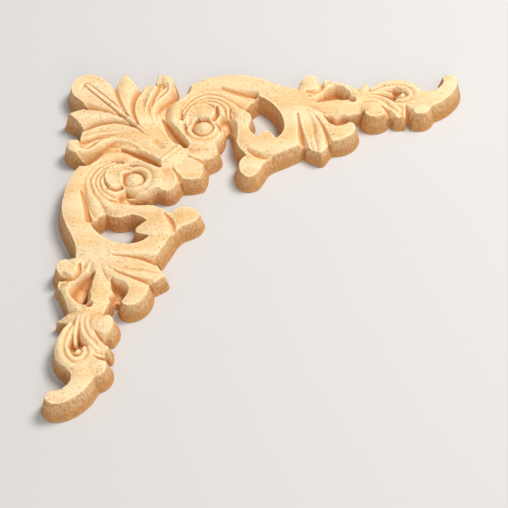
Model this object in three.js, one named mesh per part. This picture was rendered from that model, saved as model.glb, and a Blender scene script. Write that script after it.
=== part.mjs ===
// A carved wooden corner onlay: an acanthus palmette on the corner, a volute and a
// long scrolled arm on each side of it, flat on the back.
// Millimetres, +Z out of the carved face, the back on z = 0, the origin under the middle
// of the square that the onlay fills. The corner is at -X +Y: one arm runs along +X from
// it and the other along -Y, and the two are mirror images about the diagonal.

import * as THREE from 'three';

// Sizes
const ARM_LENGTH = 200;       // along either edge of the corner, over everything
const THICKNESS = 12;         // back to the highest carved point
const WALL_LEAN_DEG = 15;     // how far the side walls spread towards the back
const FLOOR_HEIGHT = 2.4;     // wood left under the hollow of the loop
const GROOVE_DEPTH = 0.8;     // grooves beside the palmette's rib, over the rib's height
const FLUTE_DEPTH = 1.5;      // hollow of the palmette's flutes
const EYE_RADIUS = 4.4;       // ball in the middle of each volute
const SOCKET_DEPTH = 3.4;     // round hollow that the ball stands in, under its top
const EYE_FALL = 2.4;         // the ball's rim under its top

// Fineness of the facets
const COARSE = 6.6;           // spacing of the first grid
const PASSES = 2;             // times that a facet may be halved
const EDGE_REACH = 1.4;       // facets this near the outline are halved every time
const FLAT_ENOUGH = 0.26;     // a facet edge nearer the surface than this stays whole
const TURNS = 4;              // rounds of turning edges along the veins
const THINNEST = 0.12;        // least area of a facet that a turn may leave

// The carving is drawn for an arm 205.5 long and a face 10.8 high
const DRAWN_ARM = 205.5;
const DRAWN_THICKNESS = 10.8;
const PLAN = ARM_LENGTH / DRAWN_ARM;
const RISE = THICKNESS / DRAWN_THICKNESS;
const WALL_SLOPE = 1 / Math.tan(THREE.MathUtils.degToRad(WALL_LEAN_DEG));

// Upper edge of the outline from the corner's diagonal out along one arm and back:
// one row for each run between two sharp corners, each point [along, across]
const OUTLINE = [
  // Middle lobe of the palmette
  [[6.9, 6.9], [9.2, 5.1], [13.2, 4.1], [17.8, 5.4], [22.2, 9.4], [26.6, 13.8]],
  // Pointed lobe
  [[26.6, 13.8], [28.5, 9.6], [31.9, 4]],
  [[31.9, 4], [34, 7], [39.4, 12.4]],
  // Hooked lobe
  [[39.4, 12.4], [41.4, 11.8], [44.6, 11], [48.4, 10.8]],
  [[48.4, 10.8], [48.2, 7.8], [49.6, 5.2], [52.1, 4], [55.4, 6.2], [58, 11.6], [60, 17]],
  // Long arc over the volute
  [[60, 17], [65.4, 11.8], [71, 8.6], [77, 6.4], [84, 5.1], [90, 4.6], [96.5, 5.3], [103, 7.5], [109.5, 10.6], [115.6, 12.9], [121.4, 13.4]],
  // Small round lobe beyond it
  [[121.4, 13.4], [122.6, 9], [124.8, 5.6], [128, 4.4], [131, 5.8], [132.8, 9]],
  // Upper strand of the loop
  [[132.8, 9], [136.4, 5.6], [140.6, 7.4], [146, 9.8], [152.6, 12]],
  // Bud
  [[152.6, 12], [156.7, 6.6]],
  [[156.7, 6.6], [158.9, 12.4]],
  // Small scroll
  [[158.9, 12.4], [165, 9], [171, 7], [177, 7], [181, 9.2], [184, 12.8], [187, 15.2], [190.4, 15.4], [194, 13.6], [196, 11.4], [196.9, 8.8], [196.5, 6.4]],
  // Tail
  [[196.5, 6.4], [198.8, 4.8], [201.6, 4.9], [203.7, 7.8], [203.2, 12.4], [200, 18], [195.4, 22.4], [189.2, 25.8]],
  // Three lobes under the small scroll
  [[189.2, 25.8], [187.6, 29], [184.4, 31], [180.4, 30.6], [177, 28]],
  [[177, 28], [175.4, 30.6], [172.4, 31.4], [168, 28.8]],
  [[168, 28.8], [164.2, 31.6], [160, 33.1], [156.6, 32.2], [155.2, 29.8], [155.4, 26.8]],
  // Lower strand, and the hooked leaf under it
  [[155.4, 26.8], [150.6, 28.8], [146, 30.8], [143.4, 33.4]],
  [[143.4, 33.4], [145.6, 36], [148.4, 36.8], [149.8, 39.6], [148.6, 43.6], [145, 46.8], [140.6, 48.4], [135.8, 48.4]],
  // Pointed leaf
  [[135.8, 48.4], [135, 52], [132.2, 56]],
  [[132.2, 56], [127.8, 53.6], [123.6, 50]],
  // Outer side of the big curl, and its round end
  [[123.6, 50], [118.6, 53], [112.6, 56.2], [107, 59.2], [103.2, 63], [101, 67.4], [98.4, 70.8], [95, 71.6], [91.9, 69], [90.9, 64.6], [92, 60.4], [94.5, 57.4]],
  // Crevice between the curl and the volute
  [[94.5, 57.4], [91.8, 53.6], [89.7, 49], [88.8, 44.6], [87.7, 40.4], [85.4, 36.8]],
  [[85.4, 36.8], [83.7, 39.8], [83.4, 43.2], [82.4, 47], [79.4, 50.8]],
  // Shell on the inside of the corner
  [[79.4, 50.8], [80.3, 54], [79.4, 57.2], [76.6, 59.4], [73, 61.8]],
  [[73, 61.8], [73, 66], [72.6, 69.4], [71.8, 71.8]],
];

// Openings right through each arm
const HOLES = [
  // Under the long arc, with the rounded finger that stands up into it
  [
    [[101, 18.6], [104.6, 20.6], [108.4, 24.2], [111.6, 29], [113.4, 34.4], [113.8, 39.8], [112.4, 44.6], [109.4, 48]],
    [[109.4, 48], [108, 45.2], [106.6, 42.2], [104.4, 41], [102.2, 42.2], [101, 44.4], [99.6, 46.4]],
    [[99.6, 46.4], [96.8, 42.8], [95.6, 39.4], [96.2, 36.4], [97, 32.4], [95.8, 28.8], [93.6, 26.2]],
    [[93.6, 26.2], [96, 24.4], [98.6, 21.4], [101, 18.6]],
  ],
  // Slit in the floor of the loop
  [
    [[137, 20], [140.4, 18], [143.8, 16.8]],
    [[143.8, 16.8], [143.8, 19], [141, 20.4], [137, 20]],
  ],
];

// Strands of the carving, each [section, fall across it, lean to its right, points], and
// each point [along, across, height of its crest, half its width]
const STRANDS = [
  // Palmette: middle leaf, pointed lobe, two flutes and the hooked lobe
  ['round', 0.8, 0, [[9, 9, 10.2, 8], [17, 17, 10.6, 11.5], [28, 28, 10.4, 10], [38, 38, 9.8, 7.6], [47, 47, 8.8, 5.5]]],
  ['round', 2, 0, [[31.9, 2.8, 10, 3.6], [31.9, 9, 10.6, 4.8], [32, 16, 10.4, 5.2], [32.8, 23, 10, 4.4], [35.4, 31, 9.6, 3.4], [40.4, 39, 8.8, 2.4]]],
  ['flute', 1.1, 0, [[45, 8.6, 10, 4.6], [42.4, 16, 10.2, 3.9], [40.6, 23, 9.8, 3.2], [40.4, 30, 9.4, 2.6], [42.8, 37, 8.8, 2], [46.6, 43, 8.2, 1.5]]],
  ['flute', 0.9, 0, [[51, 11.6, 9, 2.4], [47.4, 16.8, 9.6, 2.2], [44.8, 23.6, 9.4, 1.8], [44.2, 30, 9, 1.6], [46.2, 36.6, 8.6, 1.5], [50.4, 43.8, 8, 1.4]]],
  ['round', 1.6, 0, [[49.6, 5.6, 10.2, 2.6], [53.4, 7.6, 10.6, 3], [56.2, 11, 10.4, 2.8], [56, 15, 10, 2.3], [53, 18.8, 9.6, 2.1], [49, 21.8, 9.4, 2], [46.6, 26.6, 9, 1.9], [47, 33, 8.6, 1.8], [50.4, 39.6, 8.2, 1.6], [55, 45, 8, 1.4]]],
  // Ground between the hooked lobe and the arc
  ['round', 0.8, 0, [[54.6, 23, 5.6, 2], [51.6, 27, 6.2, 2.6], [51, 31.4, 6.2, 2.4], [54, 36, 5.4, 2]]],
  // Vase that the palmette grows from, with its raised edges
  ['round', 0.6, 0, [[46, 46, 8.2, 4.4], [51, 51, 8.4, 6.6], [56.4, 56.4, 8.8, 6]]],
  ['round', 1.4, 0, [[52.6, 40.6, 8, 1.1], [56.2, 44.6, 8.6, 1.2], [59.4, 48.8, 9.2, 1.2], [61.4, 51.4, 9.6, 1.3]]],
  ['round', 1.6, 0, [[61.4, 51.4, 9.6, 1.3], [58.8, 54.4, 9.6, 1.4], [56.6, 56.6, 9.6, 1.4]]],
  // Long arc, turning in to the big curl, and the curl's round end
  ['round', 1.2, -0.4, [[58.8, 36, 8.2, 2.4], [58, 30, 8.8, 2.6], [59.4, 24.4, 9.2, 3], [62.4, 19, 9.6, 3.6], [67.6, 14.4, 10.2, 4.4], [75, 11, 10.6, 4.8], [84, 9.6, 10.7, 5], [92, 9.8, 10.7, 5.6], [102, 13, 10.5, 7], [111.6, 18.8, 10.2, 8.4], [118, 27.6, 10, 9], [119, 37, 10, 9], [115, 46, 10.2, 8.4], [107, 50.6, 10.4, 7.8], [101, 51.2, 10.3, 6.8]]],
  ['round', 0.6, 0, [[110, 56, 8, 2.4], [103, 60.4, 8.8, 4], [96.4, 65, 9.6, 6]]],
  ['round', 1, 0, [[104.4, 44.6, 9.2, 3.8], [104.2, 48.4, 9.6, 5]]],
  // Ridge between the crevice and the opening
  ['round', 0.9, 0, [[91, 28.6, 9, 2.6], [92.8, 33, 9.3, 4.4], [92.2, 39, 9.4, 4.4], [94, 45, 9.6, 5], [99.6, 49.6, 10, 6]]],
  // Leaf veins that run round the volute, from the outside in
  ['round', 1.3, 0.3, [[61.6, 26, 8.4, 1.2], [66, 19.8, 9.2, 1.3], [74.4, 15.9, 9.8, 1.5], [82.4, 17, 10.1, 2.2], [89, 20.2, 9.9, 2.9], [96, 22.4, 8.8, 3]]],
  ['round', 1.3, 0.3, [[62.2, 28.6, 8.2, 1], [66.4, 22.6, 9, 1.2], [74, 18.6, 9.5, 1.3], [81, 20, 9.7, 1.6], [87, 24.2, 9.6, 2.3], [91.6, 29.4, 8.8, 2.6]]],
  ['round', 1.3, 0.3, [[62.6, 31.4, 8, 1], [66.6, 25, 8.8, 1.1], [73.6, 20.9, 9.2, 1.1], [79.8, 21.9, 9.4, 1.3], [84.4, 25.6, 9.3, 1.7], [86.4, 30.6, 8.4, 1.5]]],
  ['round', 1.3, 0.3, [[62.4, 35, 7.8, 1.2], [64, 30, 8.4, 1.1], [67.8, 25.8, 9, 1.1], [73.6, 23.1, 9.3, 1.1], [78.6, 24, 9.6, 1.5], [81.6, 27.2, 9.4, 1.9], [82.2, 31.6, 8.4, 1.5]]],
  // Leaf over the eye
  ['flute', 0.7, 0, [[65.4, 36.6, 7.6, 1.2], [66, 32.6, 8.8, 2.2], [68.4, 29.4, 9.8, 3.6], [72.4, 28.6, 10.3, 3.9], [76, 30, 10, 3], [77.6, 31.4, 9.4, 2]]],
  // Rings round the lower side of the volute
  ['round', 1.5, 0, [[60.4, 34.6, 8.2, 2.2], [60.2, 41, 8.8, 2.8], [63.2, 46.8, 9.4, 3.1], [69, 50, 9.4, 3.2], [75, 50.2, 9.4, 3.6], [79.2, 46.8, 8.8, 3.4], [80.4, 42.6, 7.8, 2.6]]],
  ['round', 1.4, 0, [[65.6, 37, 7.8, 1], [65.4, 41, 8.4, 1.5], [67.6, 44.8, 8.8, 1.9], [72.4, 46.6, 9, 2], [77, 44.4, 9, 2], [78.6, 40, 8.8, 1.9], [77.4, 36, 8.2, 1.3]]],
  // Round lobe at the outer edge, loop, lower strand, hooked leaf and pointed leaf
  ['round', 0.8, 0, [[128, 8, 10.2, 5], [127.6, 11.6, 10, 4.6], [124, 15, 9.6, 3]]],
  ['round', 1.4, 0, [[123, 20.4, 9.2, 1.8], [129, 19, 9.2, 1.6], [134.6, 15.6, 9, 1.7], [137.4, 10.6, 9, 2.4]]],
  ['round', 1.4, 0, [[139.6, 9.6, 9.2, 2.6], [144.6, 11.8, 9.6, 2.8], [149.4, 14.8, 9.6, 2.8], [153, 18.4, 9.4, 2.6]]],
  ['round', 1.4, -0.5, [[122, 23, 9.4, 3], [130, 24.8, 9.7, 3.2], [138, 25.6, 10, 4.4], [145, 24.6, 10.1, 4.8], [151, 21.8, 10, 4.2], [157, 18.6, 9.4, 2.8]]],
  ['round', 0.9, 0, [[123, 25.4, 9.5, 2], [129, 29, 9.7, 2.4], [133.6, 35.6, 9.9, 3], [138.4, 41.8, 10.2, 5], [143.4, 42.8, 10.3, 5.4], [147, 40, 10, 4]]],
  ['round', 1.6, 0, [[121.4, 25.6, 9.4, 1.6], [127.4, 31, 9.8, 2.2], [130.8, 38, 10, 2.8], [132.2, 46, 10, 3.4], [132.2, 54.4, 8.8, 2.8]]],
  ['round', 1.6, 0, [[120.6, 27, 9.4, 1.5], [125.4, 32.6, 9.6, 1.7], [127.2, 40, 9.5, 2], [127.8, 47, 9.2, 2.4], [129.6, 53, 8.4, 2.2]]],
  // Bud, small scroll with its eye, and the strands that fan out of the bud
  ['round', 1, 0, [[156.6, 7.6, 6.4, 1.8], [156.2, 12, 8.4, 2.8], [154.4, 17, 9.4, 2.6]]],
  ['round', 1.2, 0, [[159.4, 13, 9, 1.4], [163.8, 10.8, 9.8, 1.7], [169.4, 9.2, 10, 2], [175.4, 9.4, 10, 2.2], [180.2, 11.6, 10, 2.3], [182.8, 15.6, 9.8, 2.3], [182.2, 19.8, 9.6, 2.3], [179, 22.8, 9.4, 2.2], [175, 23.6, 9, 1.9], [171.6, 22.6, 8.4, 1.4]]],
  ['round', 1.4, 0, [[161, 14.8, 9, 1.2], [166.4, 12.8, 9.5, 1.3], [171, 12.2, 9.8, 1.4], [175.8, 12.9, 10, 1.5], [179, 15.6, 10, 1.6], [178.8, 18.8, 9.8, 1.7], [175.6, 20.6, 9.4, 1.7], [172.2, 20, 8.6, 1.4]]],
  ['round', 1.6, 0, [[174.8, 17.2, 9.4, 1.9]]],
  ['round', 1.3, 0, [[153.6, 17, 9.4, 1.6], [160, 16, 9.6, 1.3], [165.6, 15.4, 9.2, 0.9], [169.6, 15.8, 8.4, 0.6]]],
  ['round', 1.3, 0, [[153.6, 19, 9.4, 1.6], [160, 18.4, 9.6, 1.4], [165.6, 20, 9.4, 1.5], [169.6, 23, 9.2, 1.8], [172.6, 26, 8.2, 2]]],
  ['round', 1.3, 0, [[153.6, 21, 9.4, 1.6], [160, 20.8, 9.6, 1.6], [165, 23.2, 9.2, 1.9], [168.4, 26, 7.4, 2]]],
  ['round', 0.7, 0, [[155.4, 23.6, 9, 2.2], [159, 26.4, 10, 4.4], [160, 29.4, 10.2, 6]]],
  // Low lobe between the two others
  ['round', 0.6, 0, [[170.4, 24.6, 6.4, 3.6], [172.6, 28.6, 4.8, 4.6]]],
  ['round', 0.7, 0, [[180.4, 23.4, 9.4, 3.4], [182.8, 26, 10, 5], [183.4, 28, 10.1, 5.6]]],
  ['round', 0.8, 0, [[184.4, 20, 10, 4.6], [190, 20.4, 10.2, 5.6], [195.4, 17.4, 10.5, 5.2], [199.8, 12.4, 10.8, 4.8], [200.6, 8, 10.8, 4.4]]],
  // Dished lobes of the shell on the inside of the corner
  ['flute', 0.7, 0, [[59, 59, 8, 2.6], [64.6, 64.6, 8.8, 6.4], [69.4, 69.4, 9.2, 9]]],
  ['flute', 0.7, 0, [[65.4, 53.4, 8, 2.2], [71.6, 55.8, 8.8, 4.6], [76, 56, 9.1, 6]]],
];

// Hollows cut down into the strands, each [steepness of the sides, points], and each point
// [along, across, height of the floor, half the floor's width]
const HOLLOWS = [
  // Creases between the lobes of the palmette, deepest at the outline
  [1, [[34, 33, 9.2, 0.1], [29.8, 24, 9, 0.1], [27.7, 17.6, 8.4, 0.1], [26.3, 12.6, 7.6, 0.2]]],
  [1.4, [[39.4, 38, 8.4, 0.1], [36.4, 29, 7.8, 0.2], [36.6, 21, 7, 0.3], [39.6, 11.8, 5.6, 0.4]]],
  [1.4, [[45.8, 25, 7.8, 0.1], [46.8, 19, 7.4, 0.2], [48.6, 14.6, 7.2, 0.3], [49.2, 11, 7, 0.4]]],
  // Rolled tip of the middle leaf
  [0.6, [[9.6, 14.4, 9.9, 0.2], [11, 11, 9.6, 0.4]]],
  [0.6, [[11, 11, 9.6, 0.4], [14.6, 9.4, 9.9, 0.2]]],
  // Cove between the hooked lobe and the arc
  [1.7, [[60.4, 13.6, 1.6, 0.8], [58.2, 17, 2.8, 0.9], [55.4, 20.4, 4.4, 0.8], [51.8, 24, 6, 0.4]]],
  // Trench between the palmette and the volute
  [2.6, [[51.8, 31.8, 4.6, 0.4], [54.8, 37.4, 3.6, 1.2], [57.4, 42.4, 3.4, 1.6], [60.4, 47, 3.8, 1.5], [63.6, 50.6, 5, 0.7]]],
  // Cove at the root of the crevice, and the dark ends of the fingers above it
  [2, [[83.8, 34.4, 3.6, 2], [85, 37.4, 2.4, 1.6], [85.4, 42, 2, 1.1], [85, 46, 2, 1.4], [83.8, 50, 2, 2]]],
  [2.6, [[79.2, 26, 7, 0.2], [79.4, 30, 6, 0.5], [78, 33, 5.6, 0.5]]],
  [2.6, [[86.2, 27, 7.4, 0.1], [86.2, 31.4, 5.8, 0.4]]],
  // Gouge between the arc and the outermost vein
  [1.6, [[82, 13.6, 8.6, 0.2], [90, 16, 7.4, 0.6], [98.6, 18.2, 6.2, 0.5]]],
  // Loop
  [2.4, [[131, 21.4, 5.4, 0.3], [136.4, 17.6, FLOOR_HEIGHT, 2.2], [141, 16.2, FLOOR_HEIGHT, 2.8], [144.4, 17.6, FLOOR_HEIGHT, 1.4]]],
  [1.5, [[126, 15.4, 8, 0.2], [130.4, 15.4, 7.4, 0.3], [133.6, 12.4, 6.8, 0.3], [133.4, 7.4, 6, 0.4]]],
  [1.6, [[146, 17.4, 6.4, 0.3], [149, 21, 7, 0.5]]],
  // Between the lower strand and the hooked leaf
  [2.6, [[134.6, 31, 6, 0.3], [137, 32.4, 3.2, 0.8], [140.6, 34.8, 3, 2], [144.4, 33.2, 3, 1.6]]],
  // Notch between the curl and the pointed leaf, and beside the hooked leaf
  [1.5, [[120.6, 31, 9, 0.1], [121.4, 39, 8.4, 0.2], [122.4, 45.8, 7, 0.3], [123.6, 51.2, 5.4, 0.5]]],
  [1.5, [[129.8, 32, 9, 0.1], [133, 39, 8.6, 0.1], [135, 45, 7.6, 0.2], [136.2, 49.6, 6.2, 0.4]]],
  // Between the curl and its round end
  [1.2, [[94.8, 54.6, 8.4, 0.1], [98.6, 57.6, 7.6, 0.3], [103.4, 59.4, 7.6, 0.3], [107.4, 59.6, 7.8, 0.3]]],
  // Dark hollow of the small scroll, on both sides of one vein
  [2.6, [[167.4, 14, 8, 0.1], [171, 14.4, 4.6, 0.5], [173.4, 15.4, 4.6, 0.4]]],
  [2.6, [[164, 16.8, 8.4, 0.1], [168.6, 18, 5.6, 0.6], [171, 18.4, 5, 0.7]]],
  // Between the three lobes under it
  [1.8, [[163.6, 24.6, 8.4, 0.1], [167, 27.6, 6, 0.3], [168.4, 30.4, 4, 0.6]]],
  [2.4, [[176.4, 24.6, 7.6, 0.1], [177.2, 28, 4, 0.5], [177.4, 30.6, 3.4, 0.6]]],
  // Between the shell's lobes
  [1.4, [[65, 57, 8, 0.1], [70, 60.2, 7.2, 0.2], [73.4, 61.6, 6, 0.4]]],
  // Oval in the vase
  [0.5, [[48.6, 48.6, 7.5, 0.6], [51.6, 51.6, 7.5, 0.6]]],
];

// Rib along the diagonal, each point [along, across, its height over the leaf, half its width]
const RIB = [[11.6, 11.6, 0.5, 0.8], [15, 15, 1, 1], [36, 36, 1.2, 1], [45, 45, 0.3, 0.4]];
const EYE = [72.8, 38.9];
const EYE_HEIGHT = 9.6;

function smooth(points, step) {
  // Points about step apart on a curve through the given ones, with every column carried
  const at = points.map((p) => new THREE.Vector3(p[0], p[1], 0));
  if (at.length === 1) {
    return [points[0], points[0]];
  }
  const curve = new THREE.CatmullRomCurve3(at, false, 'centripetal');
  const out = [];
  for (let i = 0; i + 1 < at.length; i++) {
    const count = Math.max(1, Math.ceil(at[i].distanceTo(at[i + 1]) / step));
    for (let k = i ? 1 : 0; k <= count; k++) {
      const share = k / count;
      const place = curve.getPoint((i + share) / (at.length - 1));
      const rest = points[i].slice(2).map((value, n) => (
        THREE.MathUtils.lerp(value, points[i + 1][n + 2], share)
      ));
      out.push([place.x, place.y, ...rest]);
    }
  }
  return out;
}

function closedLoop(runs, step) {
  const loop = [];
  for (const run of runs) {
    loop.push(...smooth(run, step).slice(0, -1));
  }
  return loop;
}

function mirrored(point) {
  return [point[1], point[0], ...point.slice(2)];
}

const halfOutline = closedLoop(OUTLINE, 2).concat([OUTLINE.at(-1).at(-1)]);
const outline = halfOutline.concat(halfOutline.slice(1, -1).reverse().map(mirrored));
const holes = HOLES.map((runs) => closedLoop(runs, 2));
const strands = STRANDS.map(([section, fall, lean, points]) => (
  { section, fall, lean, line: smooth(points, 2) }
));
const hollows = HOLLOWS.map(([steep, points]) => ({ steep, line: smooth(points, 2) }));

function nearest(line, u, v) {
  // Distance from a point to a line of points, which side of it the point is on (1 right,
  // -1 left, seen with v down), and the line's other columns there
  let best = Infinity;
  let side = 0;
  let segment = 0;
  let share = 0;
  for (let i = 0; i + 1 < line.length; i++) {
    const a = line[i];
    const b = line[i + 1];
    const du = b[0] - a[0];
    const dv = b[1] - a[1];
    const long = du * du + dv * dv;
    const t = long ? THREE.MathUtils.clamp(((u - a[0]) * du + (v - a[1]) * dv) / long, 0, 1) : 0;
    const d = Math.hypot(u - a[0] - t * du, v - a[1] - t * dv);
    if (d < best) {
      best = d;
      side = Math.sign(du * (v - a[1]) - dv * (u - a[0]));
      segment = i;
      share = t;
    }
  }
  const columns = line[segment].slice(2).map((value, n) => (
    THREE.MathUtils.lerp(value, line[segment + 1][n + 2], share)
  ));
  return [best, side, ...columns];
}

function loopDistance(loop, u, v) {
  // Signed distance to a closed loop, positive inside it
  let best = Infinity;
  let inside = false;
  for (let i = 0, j = loop.length - 1; i < loop.length; j = i++) {
    const a = loop[j];
    const b = loop[i];
    const du = b[0] - a[0];
    const dv = b[1] - a[1];
    const t = THREE.MathUtils.clamp(((u - a[0]) * du + (v - a[1]) * dv) / (du * du + dv * dv), 0, 1);
    best = Math.min(best, Math.hypot(u - a[0] - t * du, v - a[1] - t * dv));
    if ((a[1] > v) !== (b[1] > v) && u < a[0] + (du * (v - a[1])) / dv) {
      inside = !inside;
    }
  }
  return inside ? best : -best;
}

function edgeDistance(u, v) {
  // Signed distance to the upper edge of the walls, positive on the carved face
  const holeDistance = Math.max(...holes.map((hole) => loopDistance(hole, u, v)));
  return Math.min(loopDistance(outline, u, v), -holeDistance);
}

function strandHeight({ section, fall, lean, line }, u, v) {
  const [d, side, crest, half] = nearest(line, u, v);
  const s = d / half;
  if (section === 'round') {
    return crest - fall * s * s + lean * side * s;
  }
  const depth = FLUTE_DEPTH * fall;
  return s < 1 ? crest - depth * (1 - s * s) : crest - 2 * (d - half);
}

function carvedHeight(u, v) {
  // Height of the carved face, drawn size, on the arm where u is not less than v
  let height = FLOOR_HEIGHT;
  for (const strand of strands) {
    height = Math.max(height, strandHeight(strand, u, v));
  }
  const eye = Math.hypot(u - EYE[0], v - EYE[1]) / EYE_RADIUS;
  if (eye < 1.25) {
    height = Math.min(height, EYE_HEIGHT - SOCKET_DEPTH);
    height = Math.max(height, EYE_HEIGHT - EYE_FALL * eye * eye);
  }
  for (const { steep, line } of hollows) {
    const [d, , floor, half] = nearest(line, u, v);
    height = Math.min(height, floor + Math.max(0, d - half) * steep);
  }
  const [d, , rib, half] = nearest(RIB, u, v);
  const across = d / half;
  if (across < 2) {
    height += rib * (across < 1 ? 1 - across * across : -GROOVE_DEPTH * Math.sin(Math.PI * (across - 1)));
  }
  return Math.min(height, DRAWN_THICKNESS);
}

function surface(x, y) {
  // Height over any place in plan; below zero outside the foot of the walls
  const u = Math.max(x, -y) / PLAN;
  const v = Math.min(x, -y) / PLAN;
  const edge = edgeDistance(u, v);
  return carvedHeight(u, v) * RISE + Math.min(0, edge) * PLAN * WALL_SLOPE;
}

function rim(x, y) {
  return edgeDistance(Math.max(x, -y) / PLAN, Math.min(x, -y) / PLAN) * PLAN;
}

// Grid of equal triangles laid along the diagonal, so that both arms get the same facets
const points = [];
const heights = [];
let facets = [];

function place(x, y) {
  points.push([x, y]);
  heights.push(surface(x, y));
  return points.length - 1;
}

{
  const rowStep = COARSE * Math.sqrt(3) / 2;
  const reach = ARM_LENGTH * Math.SQRT2;
  const rows = Math.ceil(reach / 2 / rowStep) + 1;
  const columns = Math.ceil(reach / COARSE) + 2;
  const index = new Map();
  const at = (row, column) => {
    const key = `${row},${column}`;
    if (!index.has(key)) {
      const s = (column + (row & 1 ? 0.5 : 0)) * COARSE;
      const t = row * rowStep;
      index.set(key, place((s + t) / Math.SQRT2, -(s - t) / Math.SQRT2));
    }
    return index.get(key);
  };
  const near = (ids) => ids.some((id) => heights[id] > -2.2 * COARSE * WALL_SLOPE);
  for (let row = -rows; row < rows; row++) {
    for (let column = -1; column < columns; column++) {
      const shift = row & 1 ? 1 : 0;
      const quads = [
        [at(row, column), at(row, column + 1), at(row + 1, column + shift)],
        [at(row, column + 1), at(row + 1, column + 1 + shift), at(row + 1, column + shift)],
      ];
      for (const ids of quads) {
        if (near(ids)) {
          facets.push(ids);
        }
      }
    }
  }
}

const edgeKey = (a, b) => (a < b ? `${a},${b}` : `${b},${a}`);

for (let pass = 0; pass < PASSES; pass++) {
  const cut = new Map();
  const wants = (a, b) => {
    const key = edgeKey(a, b);
    if (cut.has(key)) {
      return cut.get(key);
    }
    const x = (points[a][0] + points[b][0]) / 2;
    const y = (points[a][1] + points[b][1]) / 2;
    const long = Math.hypot(points[a][0] - points[b][0], points[a][1] - points[b][1]);
    const away = Math.abs(rim(x, y));
    const height = surface(x, y);
    let split = false;
    if (height > -long * WALL_SLOPE) {
      const bend = Math.abs(height - (heights[a] + heights[b]) / 2);
      split = away < EDGE_REACH + long / 2 || bend > FLAT_ENOUGH * (pass ? 1 : 0.5);
    }
    cut.set(key, split ? place(x, y) : -1);
    return cut.get(key);
  };
  const next = [];
  for (const [a, b, c] of facets) {
    const ab = wants(a, b);
    const bc = wants(b, c);
    const ca = wants(c, a);
    const count = (ab >= 0) + (bc >= 0) + (ca >= 0);
    if (count === 0) {
      next.push([a, b, c]);
    } else if (count === 3) {
      next.push([a, ab, ca], [ab, b, bc], [ca, bc, c], [ab, bc, ca]);
    } else {
      // Turned so that the first edge is cut, and the last one is whole
      const turns = [[a, b, c, ab, bc, ca], [b, c, a, bc, ca, ab], [c, a, b, ca, ab, bc]];
      const [p, q, r, pq, qr] = turns.find((turn) => turn[3] >= 0 && turn[5] < 0);
      if (count === 1) {
        next.push([p, pq, r], [pq, q, r]);
      } else {
        next.push([p, pq, r], [pq, qr, r], [pq, q, qr]);
      }
    }
  }
  facets = next;
}

function area([a, b, c]) {
  return (
    (points[b][0] - points[a][0]) * (points[c][1] - points[a][1])
    - (points[b][1] - points[a][1]) * (points[c][0] - points[a][0])
  ) / 2;
}

function slide(field, reach) {
  // Moves the nodes that lie near a field's zero line on to it
  const step = 0.05;
  const shortest = new Array(points.length).fill(Infinity);
  const around = points.map(() => []);
  facets.forEach((ids, f) => {
    for (let k = 0; k < 3; k++) {
      const a = ids[k];
      const b = ids[(k + 1) % 3];
      const long = Math.hypot(points[a][0] - points[b][0], points[a][1] - points[b][1]);
      shortest[a] = Math.min(shortest[a], long);
      shortest[b] = Math.min(shortest[b], long);
      around[a].push(f);
    }
  });
  points.forEach(([x, y], id) => {
    if (shortest[id] === Infinity) {
      return;
    }
    let px = x;
    let py = y;
    for (let turn = 0; turn < 4; turn++) {
      const value = field(px, py);
      const gx = (field(px + step, py) - field(px - step, py)) / (2 * step);
      const gy = (field(px, py + step) - field(px, py - step)) / (2 * step);
      const steep = gx * gx + gy * gy;
      if (steep < 1e-6) {
        return;
      }
      px -= (value * gx) / steep;
      py -= (value * gy) / steep;
      if (Math.hypot(px - x, py - y) > reach * shortest[id]) {
        return;
      }
    }
    const before = around[id].map((f) => area(facets[f]));
    points[id] = [px, py];
    const small = around[id].some((f, n) => area(facets[f]) < 0.3 * before[n]);
    if (small) {
      points[id] = [x, y];
      return;
    }
    heights[id] = surface(px, py);
    if (field === surface) {
      heights[id] = 0;
    }
  });
}

slide(rim, 0.42);
const unslid = points.map(([x, y], id) => [x, y, heights[id]]);
slide(surface, 0.42);

// Where the feet of two walls would meet in one node, that node goes back to where it
// was. There the facets round it that reach above the back lie in more than one fan.
function fans(id, around) {
  const standing = around.filter((f) => facets[f].some((other) => heights[other] > 0));
  const spokes = standing.flatMap((f) => facets[f].filter((other) => other !== id && heights[other] >= 0));
  return standing.length - (spokes.length - new Set(spokes).size);
}
for (let turn = 0; turn < TURNS; turn++) {
  const around = points.map(() => []);
  facets.forEach((ids, f) => ids.forEach((id) => around[id].push(f)));
  around.forEach((near, id) => {
    if (heights[id] === 0 && fans(id, near) > 1) {
      points[id] = unslid[id].slice(0, 2);
      heights[id] = unslid[id][2];
    }
  });
}

// Edges turned to the other diagonal of their two facets where that lies nearer the
// surface, so that the facets run along the veins and valleys
for (let turn = 0; turn < TURNS; turn++) {
  const sides = new Map();
  facets.forEach((ids, f) => {
    for (let k = 0; k < 3; k++) {
      const key = edgeKey(ids[k], ids[(k + 1) % 3]);
      sides.set(key, [...(sides.get(key) ?? []), [f, k]]);
    }
  });
  const touched = new Set();
  for (const pair of sides.values()) {
    if (pair.length < 2 || touched.has(pair[0][0]) || touched.has(pair[1][0])) {
      continue;
    }
    const [[f, k], [g, m]] = pair;
    const a = facets[f][k];
    const b = facets[f][(k + 1) % 3];
    const c = facets[f][(k + 2) % 3];
    const d = facets[g][(m + 2) % 3];
    const ring = [a, b, c, d];
    if (ring.some((id) => heights[id] <= 0)) {
      continue;
    }
    const one = [a, d, c];
    const two = [d, b, c];
    if (area(one) < THINNEST || area(two) < THINNEST) {
      continue;
    }
    const miss = (p, q) => Math.abs(
      surface((points[p][0] + points[q][0]) / 2, (points[p][1] + points[q][1]) / 2)
      - (heights[p] + heights[q]) / 2,
    );
    if (miss(c, d) < miss(a, b) - 0.02) {
      facets[f] = one;
      facets[g] = two;
      touched.add(f);
      touched.add(g);
    }
  }
}

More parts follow.
